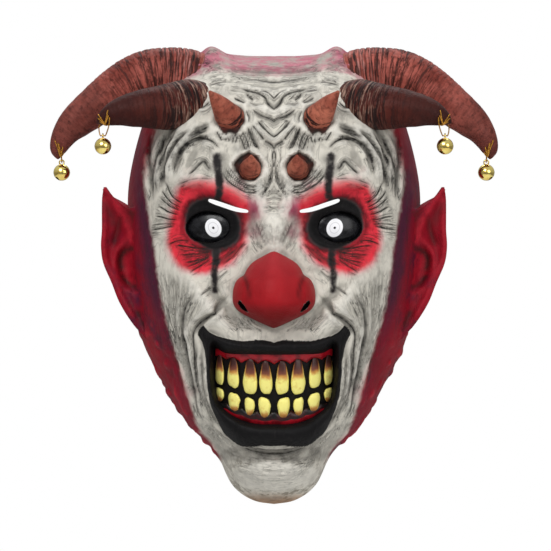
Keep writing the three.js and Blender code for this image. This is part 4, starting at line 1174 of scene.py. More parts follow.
def eye_material():
    """Black gloss with painted glints, a white disc, a thin grey ring and a pin pupil."""
    material, tree, shader = new_material("painted_eye")
    place = object_place(tree)
    side, height = half_face((EYE_DISC,))[0]
    parts = add_node(tree, "SeparateXYZ", {0: place}).outputs
    across = calculate(tree, "SUBTRACT", calculate(tree, "ABSOLUTE", parts["X"]), side * MM)
    up = calculate(tree, "SUBTRACT", parts["Z"], height * MM)
    slanted = calculate(tree, "MULTIPLY_ADD", up, EYE_DISC_SLANT, across)

    def reach(half_across, half_up):
        """How far a place lies from the disc's middle, 1 on an oval of those halves."""
        a = calculate(tree, "POWER", calculate(tree, "DIVIDE", slanted, half_across * MM), 2.0)
        b = calculate(tree, "POWER", calculate(tree, "DIVIDE", up, half_up * MM), 2.0)
        return calculate(tree, "SQRT", calculate(tree, "ADD", a, b))

    fine = noise(tree, place, 300, 3)
    # Painted glints: a lighter mottle, at random, over the black.
    coat = blend(tree, remap(tree, fine, 0.3, 0.8), paint("eye"), paint("eye_glints"))
    in_front = remap(tree, parts["Y"], (EYE_CENTRE[1] + 0.5) * MM, (EYE_CENTRE[1] - 0.5) * MM)
    disc = times(tree, remap(tree, reach(*EYE_DISC_HALF), 1.02, 0.96), in_front)
    coat = blend(tree, disc, coat, paint("disc"))
    off_ring = calculate(tree, "ABSOLUTE", calculate(tree, "SUBTRACT", reach(*EYE_RING_HALF), 1.0))
    coat = blend(tree, times(tree, remap(tree, off_ring, 0.1, 0.02), 0.35), coat, paint("eye_ring"))
    coat = blend(tree, remap(tree, reach(EYE_PUPIL, EYE_PUPIL), 1.15, 0.8), coat, paint("eye"))
    dress(tree, shader, {"Base Color": coat, "Roughness": remap(tree, fine, 0.3, 0.8, 0.2, 0.34),
                         "Specular IOR Level": 0.3})
    return material


def bell_material():
    """Polished gold plating with faint scuffs."""
    material, tree, shader = new_material("gold_plating")
    place = object_place(tree)
    broad = noise(tree, place, 180, 4, 0.6)
    scuff = noise(tree, place, 900, 4, 0.7, 1.5)
    coat = blend(tree, remap(tree, broad, 0.4, 0.75), paint("gold"), paint("gold_deep"))
    dress(tree, shader, {"Base Color": coat, "Roughness": remap(tree, scuff, 0.4, 0.8, 0.1, 0.3),
                         "Metallic": 1.0, "Normal": bump(tree, scuff, 0.05, 0.1)})
    return material


def thread_material():
    """Twisted metallic thread."""
    material, tree, shader = new_material("gold_thread")
    fibre = noise(tree, object_place(tree), 1500, 3, 0.7)
    coat = blend(tree, remap(tree, fibre, 0.35, 0.7), paint("thread"), paint("thread_deep"))
    dress(tree, shader, {"Base Color": coat, "Roughness": remap(tree, fibre, 0.3, 0.7, 0.3, 0.55),
                         "Metallic": 0.6, "Normal": bump(tree, fibre, 0.3, 0.1)})
    return material


# The face's form

_up, _half = np.array(FACE_OUTLINE, float).T
outline_radius = curve_through(np.arctan2(_half, _up - FACE_MIDDLE_Z), np.hypot(_half, _up - FACE_MIDDLE_Z))


def fullness(angle):
    """How squarely the plain form turns from its front to its side, in a direction from its middle."""
    jaw = smoothstep(np.abs(angle), JAW_FROM_ANGLE, math.pi)
    return FACE_FULLNESS + (JAW_FULLNESS - FACE_FULLNESS) * jaw


def plain_depth(share, angle):
    """Depth of the plain form at a share of the way from its middle to its outline."""
    power = fullness(angle)
    return FACE_DEPTH * np.maximum(1 - share**power, 0) ** (1 / power)


def ring_share(ring, angle):
    """Share of the way out for a ring of the grid: even steps over the front, then back along the side."""
    power = fullness(angle)
    edge = (1 - FRONT_SHARE**power) ** (1 / power)
    back = np.clip((ring - FRONT_ROWS) / (1 - FRONT_ROWS), 0, 1)
    side = (1 - (edge * (1 - back)) ** power) ** (1 / power)
    return np.where(ring < FRONT_ROWS, ring * FRONT_SHARE / FRONT_ROWS, side)


def swell_relief(side, z):
    """How far the broad swells and dents stand forward."""
    total = np.zeros_like(side)
    for _, at_side, at_z, reach_across, reach_up, turn, lift in SWELLS:
        angle = math.radians(turn)
        across = (side - at_side) * math.cos(angle) + (z - at_z) * math.sin(angle)
        along = (z - at_z) * math.cos(angle) - (side - at_side) * math.sin(angle)
        total += lift * np.exp(-((across / reach_across) ** 2) - (along / reach_up) ** 2)
    for at_z, rise, lift in CHEVRONS:
        fold_z = at_z + rise * side / CHEVRON_REACH[0]
        total += lift * np.exp(-((side / CHEVRON_REACH[0]) ** 2) - ((z - fold_z) / CHEVRON_REACH[1]) ** 2)
    return total


def surface_depth(side, z):
    """Depth of the face at a place seen from the front, away from the rim."""
    angle = np.arctan2(side, z - FACE_MIDDLE_Z)
    share = np.hypot(side, z - FACE_MIDDLE_Z) / outline_radius(angle)
    return plain_depth(share, angle) + swell_relief(side, z)


def mouth_floor(side, z):
    """Depth of the mouth's floor, part of a barrel that leans back."""
    round_back = MOUTH_FLOOR_RADIUS - np.sqrt(np.maximum(MOUTH_FLOOR_RADIUS**2 - side**2, 1))
    return -(MOUTH_FLOOR_Y + round_back / math.cos(MOUTH_LEAN) - (z - MOUTH_MIDDLE_Z) * math.tan(MOUTH_LEAN))


def face_grid(columns, rows):
    """A square grid stretched to the outline: place seen from the front, share of the way out, direction."""
    grids = np.meshgrid(np.linspace(-1, 1, columns + 1), np.linspace(-1, 1, rows + 1))
    across, up = (grid.ravel() for grid in grids)
    disc_x = across * np.sqrt(1 - up * up / 2)
    disc_z = up * np.sqrt(1 - across * across / 2)
    angle = np.arctan2(disc_x, disc_z)
    share = ring_share(np.minimum(np.hypot(disc_x, disc_z), 1), angle)
    radius = share * outline_radius(np.abs(angle))
    return radius * np.sin(angle), FACE_MIDDLE_Z + radius * np.cos(angle), share, angle


def raised_face(x, z, share, angle, relief):
    """Points of the face for a relief, with the throat drawn up at the back."""
    fade = 1 - smoothstep(share, RELIEF_FADES_FROM, 1)
    y = -(plain_depth(share, angle) + relief * fade)
    behind = smoothstep(y, -THROAT_DEPTH, 0)
    below = 1 - smoothstep(z, CHIN_Z, JAW_Z)
    return np.column_stack((x, y, z + JAW_RISE * behind * below))


def with_mouth(relief, side, z, share, angle, inner, edge):
    """A relief sunk to the mouth's floor inside the lips, over an edge so far past the opening."""
    floor = mouth_floor(side, z) - plain_depth(share, angle)
    return relief + (floor - relief) * (1 - smoothstep(inner, *edge))


def grid_normals(points, columns, rows):
    """Outward normals of a grid that looks along -Y."""
    net = points.reshape(rows + 1, columns + 1, 3)
    along, up = np.gradient(net, axis=1), np.gradient(net, axis=0)
    normal = np.cross(along, up)
    normal /= np.maximum(np.linalg.norm(normal, axis=2, keepdims=True), 1e-9)
    return normal.reshape(-1, 3)


def blurred(values, columns, rows, reach):
    """Numbers of a grid averaged three times over so many cells each way."""
    net = values.reshape(rows + 1, columns + 1)
    for axis in (0, 1, 0, 1, 0, 1):
        pad = [(reach + 1, reach) if each == axis else (0, 0) for each in (0, 1)]
        total = np.cumsum(np.pad(net, pad, mode="edge"), axis=axis)
        high = np.take(total, range(2 * reach + 1, total.shape[axis]), axis)
        low = np.take(total, range(total.shape[axis] - 2 * reach - 1), axis)
        net = (high - low) / (2 * reach + 1)
    return net.ravel()


def soft_above(value, soft):
    """The value where it is above nought, rounded over a soft span."""
    return np.where(value > soft, value, np.maximum(value + soft, 0) ** 2 / (4 * soft))


def wrap_horns(points):
    """Draws the skin up over the large horns' roots. Gives the points, and each horn's skin and the painted
    shade in its wrinkles.
    """
    mirror = np.where(points[:, :1] < 0, -1, 1) ** (1, 0, 0)
    half = points * mirror
    facing = grid_normals(points, *FACE_GRID) * mirror
    sleeves = {}
    for kind, (reach, thickness) in SLEEVES.items():
        rows = even_path(smooth_path(HORNS[kind], 10), 1.0)[: int(reach) + SLEEVE_PAST]
        near = np.flatnonzero(within(half, rows[:, :3], SLEEVE_MARGIN))
        away = half[near][:, None] - rows[None, :, :3]
        gaps = np.linalg.norm(away, axis=2) - rows[:, 3]
        along = gaps.argmin(1)
        pick = np.arange(len(near))
        gap = gaps[pick, along]
        out = away[pick, along] / np.linalg.norm(away[pick, along], axis=1, keepdims=True)
        ragged = reach * (0.86 + 0.24 * lattice_noise(out * 6, 1.7, seed=21))
        hold = 1 - smoothstep(along, 0.5 * ragged, ragged)
        fold = np.cos(2 * math.pi * (along + 1.6 * lattice_noise(half[near], 5.0, seed=22)) / SLEEVE_FOLD)
        target = (thickness + 0.5 * fold) * hold - 1.4 * (1 - hold)
        lift = soft_above(target - gap, 2.5) * (1 - smoothstep(along, reach, reach + 12))
        lift *= smoothstep((out * facing[near]).sum(1), -0.5, -0.1)
        half[near] += out * lift[:, None]
        skin, wrinkle = np.zeros(len(half)), np.zeros(len(half))
        skin[near] = hold * smoothstep(lift, 0.1, 2.2)
        # Painted shade in the sleeve's wrinkles.
        wrinkle[near] = skin[near] * np.clip(-fold, 0, 1) ** 1.5
        sleeves[kind] = skin, wrinkle
    return half * mirror, sleeves


def collar_skin(side, z):
    """Height, painted shade in the groove (darkest below the horn) and nearness of the skin round the small
    horns.
    """
    height, dark, rust = np.zeros_like(side), np.zeros_like(side), np.zeros_like(side)
    lumps = lattice_noise(np.column_stack((side, z)), 4.5, seed=11)
    for at_side, at_z, radius, depth, rim in COLLARS.values():
        reach = np.hypot(side - at_side, z - at_z)
        below = 0.5 + 0.5 * np.clip((at_z - z + 0.6 * (at_side - side)) / np.maximum(reach, 1e-6), -1, 1)
        below = np.maximum(below, 0.85 * (depth > 2))
        reach = reach + 1.5 * lumps
        groove = hump(reach - radius, 1.5)
        height += rim * below * hump(reach - radius - 3.2, 1.7) - depth * groove * (0.4 + 0.6 * below)
        # Painted shade in the groove round a horn, darkest below it.
        dark = np.maximum(dark, 0.85 * groove * below**0.7 * np.clip(0.8 + 0.5 * lumps, 0, 1))
        rust = np.maximum(rust, (0.35 + 0.65 * below) * (1 - smoothstep(reach, radius - 0.6, radius + 2.2)))
    return height, dark, rust


def at_shares(path, shares):
    """Places at shares of the way along an even path."""
    ways = np.linspace(0, 1, len(path))
    return np.column_stack([np.interp(shares, ways, path[:, k]) for k in (0, 1)])


def sway(draw, steps):
    """A slow random wave along a path."""
    return draw.uniform(-0.5, 0.5) * np.sin(steps * draw.uniform(3, 8) + draw.uniform(0, 6))


def all_folds():
    """Every groove as a path in millimetres with its width, depth and darkness."""
    draw = np.random.default_rng(FAN_SEED)
    for _, width, depth, dark, path in FOLDS:
        yield photo_path(path), width, depth, dark
    steps = np.linspace(0, 1, FAN_STEPS)
    for _, count, width, depth, dark, *guides in FOLD_FANS:
        first, last = (at_shares(even_path(photo_path(guide), 1.0), steps) for guide in guides)
        for i in range(count):
            share = i / (count - 1) + draw.uniform(-0.25, 0.25) / count
            vary = draw.uniform(0.7, 1.25)
            wander = np.column_stack([sway(draw, steps) for _ in (0, 1)])
            yield first + (last - first) * share + wander, width * vary, depth * vary, dark * min(vary, 1.1)


def beside_path(places, path, gap, share):
    """Which side of a path each place lies on, as a distance across it, and the way walked along it."""
    steps = np.diff(path, axis=0)
    length = walked(path)
    step = np.clip(np.searchsorted(length, share * length[-1], "right") - 1, 0, len(steps) - 1)
    away = places - path[step]
    across = gap * np.sign(steps[step, 0] * away[:, 1] - steps[step, 1] * away[:, 0])
    return across, FLOW_STRETCH * length[-1] * share


def press_folds(side, z):
    """What the grooves give at each place: height, darkness, the place beside the nearest groove, how near
    that is, and how strong its line is."""
    # The darkness is dark paint and painted shade along each groove.
    height, ink, ends, line = (np.zeros_like(side) for _ in range(4))
    beside, flow = np.full(len(side), FAR), np.zeros((len(side), 3))
    places = np.column_stack((side, z))
    broken = np.clip(0.98 + 0.25 * lattice_noise(places, 5.0, seed=12), 0.7, 1.15)
    for number, (path, width, depth, dark) in enumerate(all_folds()):
        near = np.flatnonzero(within(places, path, max(4 * width, FLOW_REACH)))
        if not len(near):
            continue
        gap, share = to_path(places[near], path)
        across, along = beside_path(places[near], path, gap, share)
        taper = smoothstep(share, -0.02, 0.2)
        if path[-1][0] > 1:
            taper = taper * (1 - smoothstep(share, 0.75, 1.02))
        closer = gap < beside[near]
        spot = near[closer]
        beside[spot] = gap[closer]
        flow[spot] = np.column_stack((across, along, np.full(len(gap), FLOW_LAYER * number)))[closer]
        ends[spot] = (smoothstep(share, 0, 0.16) * smoothstep(taper, 0, 0.5))[closer]
        line[spot] = (dark * taper)[closer]
        shoulder = hump(gap - 2.1 * width, width)
        height[near] += depth * taper * (FOLD_SHOULDER * shoulder - hump(gap, width))
        core = hump(gap, max(0.7 * width, 0.7))
        strength = min(1.05, 1.5 / width) * dark * taper * core * broken[near]
        ink[near] = darker(ink[near], np.clip(strength, 0, 0.97))
    return height, ink, flow, ends * hump(beside, FLOW_REACH), line * hump(beside, LINE_REACH)


def lip_shape(side, z):
    """Signed distances to the mouth's opening and to the lips' outer edge."""
    places = np.column_stack((side, z))
    half, foot, top = MOUTH_BOX
    near = (side < half) & (z < top) & (z > foot)
    inner, outer = np.full(len(side), FAR), np.full(len(side), FAR)
    for pixels, gaps in ((LIP_INNER, inner), (LIP_OUTER, outer)):
        path = half_face(pixels)
        ring = np.vstack((smooth_path(path, 5), path[[-1, 0]] - MOUTH_PAST_MIDDLE))
        gaps[near] = inside_outline(places[near], ring)
    return inner, outer


def eye_reach(side, z):
    """How far a place lies from an eye's middle, 1 on the rim of its seat."""
    return np.hypot((side - EYE_CENTRE[0]) / EYE_HALF[0], (z - EYE_CENTRE[2]) / EYE_HALF[1])


def largest_near(values, reach):
    """The largest number within so many cells of each cell of the face's grid."""
    net = values.reshape(FACE_GRID[1] + 1, FACE_GRID[0] + 1)
    for axis in (0, 1):
        net = np.max([np.roll(net, shift, axis) for shift in range(-reach, reach + 1)], axis=0)
    return net


def jaw_lumps(points):
    """How far the lumps of cast latex stand out on the sides of the jaw, behind the painted front."""
    size, lift = JAW_LUMPS
    _, y, z = points.T
    on_side = band(-y, *JAW_LUMPS_DEPTH)
    below = band(-z, *JAW_LUMPS_DROP)
    return lift * on_side * below * np.maximum(lattice_noise(points, size, seed=5), 0)


@lru_cache
def sculpt_face():
    """Points of the painted side, what its paint goes by, and how deep it is pressed in at each cell of the
    bare side."""
    x, z, share, angle = face_grid(*FACE_GRID)
    side = np.abs(x)
    inner, outer = lip_shape(side, z)
    roll = np.clip(-outer / np.maximum(inner - outer, 1e-3), 0, 1)
    lip = LIP_LIFT * np.sin(math.pi * roll) ** 0.8 * (outer < 0) * (inner > -0.5)
    lid = LID[1] * hump((eye_reach(side, z) - LID_RING) * EYE_HALF[1], LID[0])
    collar, socket, rust = collar_skin(side, z)
    relief = swell_relief(side, z) + lip + lid + collar
    relief = with_mouth(relief, side, z, share, angle, inner, MOUTH_EDGE)
    points = raised_face(x, z, share, angle, relief)
    for *at, reach_side, reach_y, reach_z, lift in CROWN_LUMPS:
        away = (np.column_stack((side, points[:, 1], z)) - at) / (reach_side, reach_y, reach_z)
        points[:, 2] += lift * np.exp(-(away**2).sum(1))
    points, sleeves = wrap_horns(points)
    normals = grid_normals(points, *FACE_GRID)
    folds, ink, flow, beside, line = press_folds(side, z)
    faces_front = smoothstep(-normals[:, 1], 0.2, 0.5)
    folds, ink, beside, line = (values * faces_front for values in (folds, ink, beside, line))
    skin = lumpy(points, SKIN_LUMPS)
    still = 1 - smoothstep(-inner, -2, 2)
    fade = 1 - smoothstep(share, 0.93, 1)
    height = (sizes().fold_strength * folds * (outer > 0) + skin) * fade * still
    height += jaw_lumps(points)
    points = points + normals * height[:, None]
    pressed = largest_near(np.maximum(-collar - height, 0), LINING_CELL + 1)[::LINING_CELL, ::LINING_CELL]
    stands = relief + height
    stands = stands - blurred(stands, *FACE_GRID, STANDS_REACH)
    marks = {"side": side, "y": points[:, 1], "z": z, "ink": np.maximum(ink, socket), "outer": outer,
             "rust": rust, "sleeves": sleeves, "stands": stands, "flow": flow, "beside": beside, "line": line}
    return points, marks, pressed.ravel()


def lining_points(margin):
    """Points of the bare side: the broad form taken in by a margin, and further where skin is pressed in."""
    columns, rows = (count // LINING_CELL for count in FACE_GRID)
    x, z, share, angle = face_grid(columns, rows)
    side = np.abs(x)
    inner, _ = lip_shape(side, z)
    relief = with_mouth(swell_relief(side, z), side, z, share, angle, inner, LINING_MOUTH_EDGE)
    points = raised_face(x, z, share, angle, relief)
    normals = grid_normals(points, columns, rows)
    rim = share > 0.9999
    normals[rim] = np.column_stack((np.sin(angle), np.zeros_like(angle), np.cos(angle)))[rim]
    _, _, pressed = sculpt_face()
    return points - normals * (margin + pressed)[:, None]


def outline_mask(places, pixels, soft, grow=0.0):
    """1 inside an outline of the photograph, 0 outside, over a soft edge in millimetres."""
    ring = smooth_path(half_face(pixels), 4, closed=True)
    near = within(places, ring, 3 * soft + 3)
    gap = np.full(len(places), FAR)
    gap[near] = inside_outline(places[near], ring)
    return 1 - smoothstep(gap - grow, -soft, soft)


def spot_mask(places, column, row, reach):
    """1 at a pixel of the photograph, fading away over a reach in pixels."""
    gap = np.linalg.norm(places - half_face(((column, row),))[0], axis=1)
    return hump(gap, reach * PHOTO_SCALE)


def from_nose(places):
    """Signed distance to the nose's outline."""
    side, z = places.T
    half, foot, top = NOSE_BOX
    near = (side < half) & (z < top) & (z > foot)
    outline = np.array([(wide, at) for at, wide, _ in NOSE])
    gap = np.full(len(places), FAR)
    gap[near] = inside_outline(places[near], np.vstack((outline, outline[::-1] * (-1, 1))))
    return gap


def eye_soot(places):
    """The airbrushed black round the eye and in the stripes above and below it."""
    soot = outline_mask(places, EYE_BLACK, EYE_BLACK_SOFT)
    for _, start, finish, path in STRIPES:
        gap, along = to_path(places, photo_path(path))
        half = PHOTO_SCALE * (start + (finish - start) * along)
        soot = np.maximum(soot, STRIPE_STRENGTH * (1 - smoothstep(gap - half, *STRIPE_SOFT)))
    return soot


def all_ink(places, ink, sleeves, stands):
    """The dark paint and painted shade of the folds, with the painted shade that spots, the nose's edge,
    wrinkles of drawn-up skin and hollows add.
    """
    # Spots of painted shade.
    for _, column, row, reach, dark in DARK_SPOTS:
        ink = darker(ink, dark * spot_mask(places, column, row, reach))
    # Painted shade round the nose's edge, where it meets the face.
    ink = np.maximum(ink, 0.35 * hump(np.maximum(from_nose(places), 0), 1.6))
    # Painted shade in the wrinkles of skin drawn up on the horns.
    for _, wrinkle in sleeves.values():
        ink = np.maximum(ink, 0.9 * wrinkle)
    # Painted shade in the hollows of the skin.
    return darker(ink, 0.42 * smoothstep(-stands, 0.15, 1.3))


def face_paint(side, y, z, ink, outer, rust, sleeves, stands, flow, beside, line):
    """Masks of every paint on the face."""
    places = np.column_stack((side, z))
    past = side - curve_through(*half_face(WHITE_EDGE).T[::-1])(z)
    maroon = smoothstep(past, *MAROON_EDGE)
    shade = hump(past - SHADE_PAST[0], SHADE_PAST[1]) * (1 - 0.75 * smoothstep(-z, *SHADE_THINS_BELOW))
    shade = shade * (1 - 0.5 * smoothstep(z, *SHADE_THINS_ABOVE))
    behind = smoothstep(y, *BEHIND_Y)
    crown = smoothstep(z, *CROWN_Z)
    maroon = np.maximum(maroon, behind * (1 - crown)) * smoothstep(z, *MAROON_FOOT_Z)
    pink = np.maximum(smoothstep(z + 0.02 * side, *PINK_Z) * (1 - maroon), behind * crown)
    blush = np.zeros_like(side)
    for _, column, row, reach, strength in BLUSHES:
        blush = np.maximum(blush, strength * spot_mask(places, column, row, reach))
    back, front = sleeves["back_horn"][0], sleeves["front_horn"][0]
    return {
        "maroon": maroon * (1 - back) * (1 - front),
        "shade": shade,
        "pink": np.maximum(pink, 0.85 * back),
        "blush": np.maximum(blush, 0.4 * front),
        "red": outline_mask(places, RED_PATCH, RED_PATCH_SOFT),
        "ink": all_ink(places, ink, sleeves, stands),
        "black": 1 - smoothstep(outer, -0.7, 0.7),
        "soot": eye_soot(places),
        "lid": outline_mask(places, EYE_BLACK, *LID_PAINT),
        "flow": flow,
        "beside": beside,
        "line": line * (outer > 0),
        # Painted highlight on raised skin.
        "ridge": smoothstep(stands, 0.1, 1.0),
        "rust": np.maximum(rust, 0.35 * front),
        "chin": smoothstep(-z, *CHIN_SPECKLE) * (1 - maroon),
        "nose": np.zeros_like(side),
        "bare": np.zeros_like(side),
    }


# Making the pieces


def cap_rim(obj, back):
    """Closes a grid's open rim with a flat wall, so far behind the rim."""
    only(obj)
    bpy.ops.object.mode_set(mode="EDIT")
    bpy.ops.mesh.select_mode(type="EDGE")
    bpy.ops.mesh.select_all(action="DESELECT")
    bpy.ops.mesh.select_non_manifold(extend=False, use_wire=False, use_multi_face=False,
                                     use_non_contiguous=False, use_verts=False)
    if back:
        bpy.ops.mesh.extrude_region_move(TRANSFORM_OT_translate={"value": (0, back * MM, 0)})
    bpy.ops.mesh.edge_face_add()
    return face_outward(obj)


def face_solid():
    """The painted side of the face, filled to its rim, and the names of its paints."""
    face = add_grid("face", *FACE_GRID)
    points, marks, _ = sculpt_face()
    write_points(face, points)
    masks = face_paint(**marks)
    for name, values in masks.items():
        store(face, name, values)
    return cap_rim(face, 0), tuple(name for name in masks if name != "flow")


def head_room(margin):
    """The room for a head, a margin behind the painted side and drawn out past the rim."""
    room = add_grid("head_room", *(count // LINING_CELL for count in FACE_GRID))
    write_points(room, lining_points(margin))
    return cap_rim(room, ROOM_PAST_RIM)


def nose_creases(side, z, around):
    """How deep the nose is creased, and how dark the painted shade in the creases is."""
    press, ink = np.zeros_like(side), np.zeros_like(side)
    for width, depth, dark, path in NOSE_CREASES:
        gap, share = to_path(np.column_stack((side, z)), smooth_path(path))
        crease = hump(gap, width) * (1 - smoothstep(share, 0.7, 1)) * (np.sin(around) < 0.2)
        press = press + depth * crease
        ink = np.maximum(ink, dark * crease)
    return press, ink


def nose_ball(name, margin, masks):
    """The round nose, or the hollow behind it when taken in by a margin."""
    ball = add_ball(name, NOSE_SIDES, NOSE_RINGS)
    unit = read_points(ball) * MM
    levels, halves, lifts = np.array(NOSE, float).T
    middle, reach = (levels[0] + levels[-1]) / 2, (levels[0] - levels[-1]) / 2 - margin
    level = np.arcsin(np.clip(unit[:, 2], -1, 1)) / (math.pi / 2)
    z = middle + (level - 0.12 * np.sin(level * math.pi)) * reach
    around = np.arctan2(unit[:, 1], unit[:, 0])
    pole = np.sqrt(np.clip(1 - np.abs(level) ** 6, 0, 1))
    half = np.maximum(curve_through(levels, halves)(z) - margin, 0.6) * pole
    lift = np.maximum(curve_through(levels, lifts)(z) + NOSE_ROOT - margin, 0.6) * pole
    back = NOSE_ROOT
    if margin:
        half, back = np.minimum(half, NOSE_HOLLOW[0]), NOSE_HOLLOW[1]
    x = half * np.cos(around)
    from_root = np.where(np.sin(around) < 0, lift, back) * np.sin(around)
    y = NOSE_ROOT - surface_depth(np.zeros_like(z), z) + from_root
    ink = np.zeros_like(x)
    if not margin:
        side = np.abs(x)
        wing_side, wing_z, wing_reach, wing_lift = NOSE_WING
        wing = wing_lift * np.exp(-((side - wing_side) ** 2 + (z - wing_z) ** 2) / wing_reach**2)
        press, ink = nose_creases(side, z, around)
        y = y - np.where(np.sin(around) < 0.2, wing, 0) + press
    write_points(ball, np.column_stack((x, y, z)))
    blank_masks(ball, masks, **({"bare": 1.0} if margin else {"nose": 1.0}))
    store(ball, "ink", ink)
    return ball


def ear_leaf(masks):
    """A pointed ear as a cupped leaf that starts inside the face's wall, thickened to its own wall."""
    leaf = add_grid("ear", *EAR_GRID)
    unit = read_points(leaf) * MM
    rows = np.arange(len(EAR))
    level = (1 - unit[:, 1]) / 2 * rows[-1]
    columns = np.array(EAR, float).T
    z, outer, inner, outer_y, inner_y, cup = (curve_through(rows, column)(level) for column in columns)

    def bent(t):
        return inner + (outer - inner) * t, inner_y + (outer_y - inner_y) * t + cup * np.sin(math.pi * t)

    buried = np.zeros_like(z)
    for t in np.linspace(0, 0.6, 61):
        x, y = bent(t)
        buried = np.where(-y < surface_depth(x, z) - 1.0, t, buried)
    share = (unit[:, 0] + 1) / 2
    x, y = bent(buried + (1 - buried) * share)
    places = np.column_stack((x, z))
    for _, width, lift, _, path in EAR_RIDGES:
        gap, _ = to_path(places, photo_path(path))
        y = y - lift * hump(gap, width) * smoothstep(share, 0, 0.2)
    write_points(leaf, np.column_stack((x, y, z)))
    apply_modifier(leaf, "SOLIDIFY", thickness=EAR_WALL * MM, offset=-1)
    blank_masks(leaf, masks, maroon=1.0)
    places = read_points(leaf)[:, ::2]
    # Painted shade in the ear's hollows and creases, and painted highlight on its ridges and in its bowl.
    dark, ridge = np.zeros(len(places)), np.zeros(len(places))
    for _, width, _, darkness, path in EAR_RIDGES:
        gap, _ = to_path(places, photo_path(path))
        shape = darkness * hump(gap, width)
        dark, ridge = np.maximum(dark, shape), np.maximum(ridge, -shape)
    store(leaf, "ink", dark)
    store(leaf, "ridge", ridge * (1 - dark))
    return leaf


def turned(points, angle):
    """Points turned about the upright through the origin."""
    cos, sin = math.cos(angle), math.sin(angle)
    x, y, z = points.T
    return np.column_stack((x * cos - y * sin, x * sin + y * cos, z))


def eye_cutter(side):
    """A round bar in the shape of an eye's seat."""
    tool = add_mesh(bpy.ops.mesh.primitive_cylinder_add, "eye_cutter", vertices=64, radius=1, depth=60 * MM,
                    rotation=(math.pi / 2, 0, 0))
    points = read_points(tool)
    points[:, 0] *= EYE_HALF[0] * MM
    points[:, 2] *= EYE_HALF[1] * MM
    write_points(tool, turned(points, EYE_TURN) + EYE_CENTRE)
    return swap_sides(tool) if side < 0 else tool


def slit_cutter(side):
    """A prism through the face in the shape of the sight slit."""
    ring = smooth_path(half_face(SLIT), 3, closed=True)
    tool = add_disc("slit_cutter", len(ring))
    write_points(tool, np.column_stack((side * ring[:, 0], np.full(len(ring), SLIT_FROM_Y), ring[:, 1])))
    bpy.ops.object.mode_set(mode="EDIT")
    bpy.ops.mesh.select_all(action="SELECT")
    bpy.ops.mesh.extrude_region_move(TRANSFORM_OT_translate={"value": (0, SLIT_DEPTH * MM, 0)})
    return face_outward(tool)


def nostril_cutter(side):
    """A slanted egg in the shape of a nostril."""
    tool = add_ball("nostril_cutter", 32, 20)
    x, y, z = (read_points(tool) * MM * NOSTRIL_HALF).T
    cos, sin = math.cos(NOSTRIL_TURN), math.sin(NOSTRIL_TURN)
    points = np.column_stack((x * cos + z * sin - NOSTRIL_SLANT * y, y, z * cos - x * sin)) + NOSTRIL
    write_points(tool, points)
    return swap_sides(tool) if side < 0 else tool


def blank_masks(tool, masks, **given):
    """Gives a cutter the face's paint masks, so that the walls it leaves take them."""
    for mask in masks:
        store(tool, mask, np.full(len(tool.data.vertices), given.get(mask, 0.0)))
    return tool


def make_face():
    """The hollow face: ears and nose joined on, then the head's room, eyes, slits and nostrils cut out."""
    face, masks = face_solid()
    for side in SIDES.values():
        ear = ear_leaf(masks)
        seam = carve(face, swap_sides(ear) if side < 0 else ear, "UNION")
        soften_seam(face, seam, *EAR_SEAM)
    carve(face, nose_ball("nose", 0, masks), "UNION", nose=0.5)
    carve(face, blank_masks(head_room(WALL), masks, bare=1.0), "DIFFERENCE")
    carve(face, nose_ball("nose_hollow", WALL, masks), "DIFFERENCE", bare=1.0)
    for side in SIDES.values():
        carve(face, blank_masks(eye_cutter(side), masks), "DIFFERENCE", soot=1.0, bare=0.0)
        # The slit's cut walls take red with a little painted shade.
        carve(face, blank_masks(slit_cutter(side), masks), "DIFFERENCE", red=0.6, ink=0.2, bare=0.0)
        carve(face, blank_masks(nostril_cutter(side), masks, black=1.0), "DIFFERENCE", black=1.0, bare=0.0)
    return finish_piece(face, "latex_face", face_material(), "face_latex", "mask", "face_shell", angle=55)


def make_eyes():
    """A domed plug behind each lid."""
    material = eye_material()
    eye = add_ball("eye", 64, 32, rotation=(math.pi / 2, 0, 0))
    bpy.ops.object.mode_set(mode="EDIT")
    net = bmesh.from_edit_mesh(eye.data)
    back = [v for v in net.verts if v.co.y > 1e-4]
    bmesh.ops.delete(net, geom=back, context="VERTS")
    for edge in net.edges:
        edge.select = edge.is_boundary
    bmesh.update_edit_mesh(eye.data)
    bpy.ops.mesh.select_mode(type="EDGE")
    bpy.ops.mesh.extrude_region_move(TRANSFORM_OT_translate={"value": (0, 1, 0)})
    bpy.ops.mesh.edge_face_add()
    bpy.ops.object.mode_set(mode="OBJECT")
    points = read_points(eye) * MM
    straight = points[:, 1] > 0.5
    points[:, 0] *= EYE_HALF[0] + EYE_LAP
    points[:, 2] *= EYE_HALF[1] + EYE_LAP
    points[:, 1] = np.where(straight, EYE_SEAT_BACK, points[:, 1] * EYE_BULGE - EYE_SEAT_FRONT)
    write_points(eye, turned(points, EYE_TURN) + EYE_CENTRE)
    finish_pair(face_outward(eye), "eye_dome", "eye", material, "eyes", angle=40)


def rounded_tip(rows):
    """A horn's rows with a few more that close its tip as a dome."""
    rows = np.array(rows, float)
    last, radius = rows[-1, :3], rows[-1, 3]
    run = last - rows[-2, :3]
    run /= np.linalg.norm(run)
    dome = [(*(last + run * radius * 0.9 * math.sin(a)), radius * math.cos(a)) for a in TIP_DOME]
    return np.vstack((rows, dome))


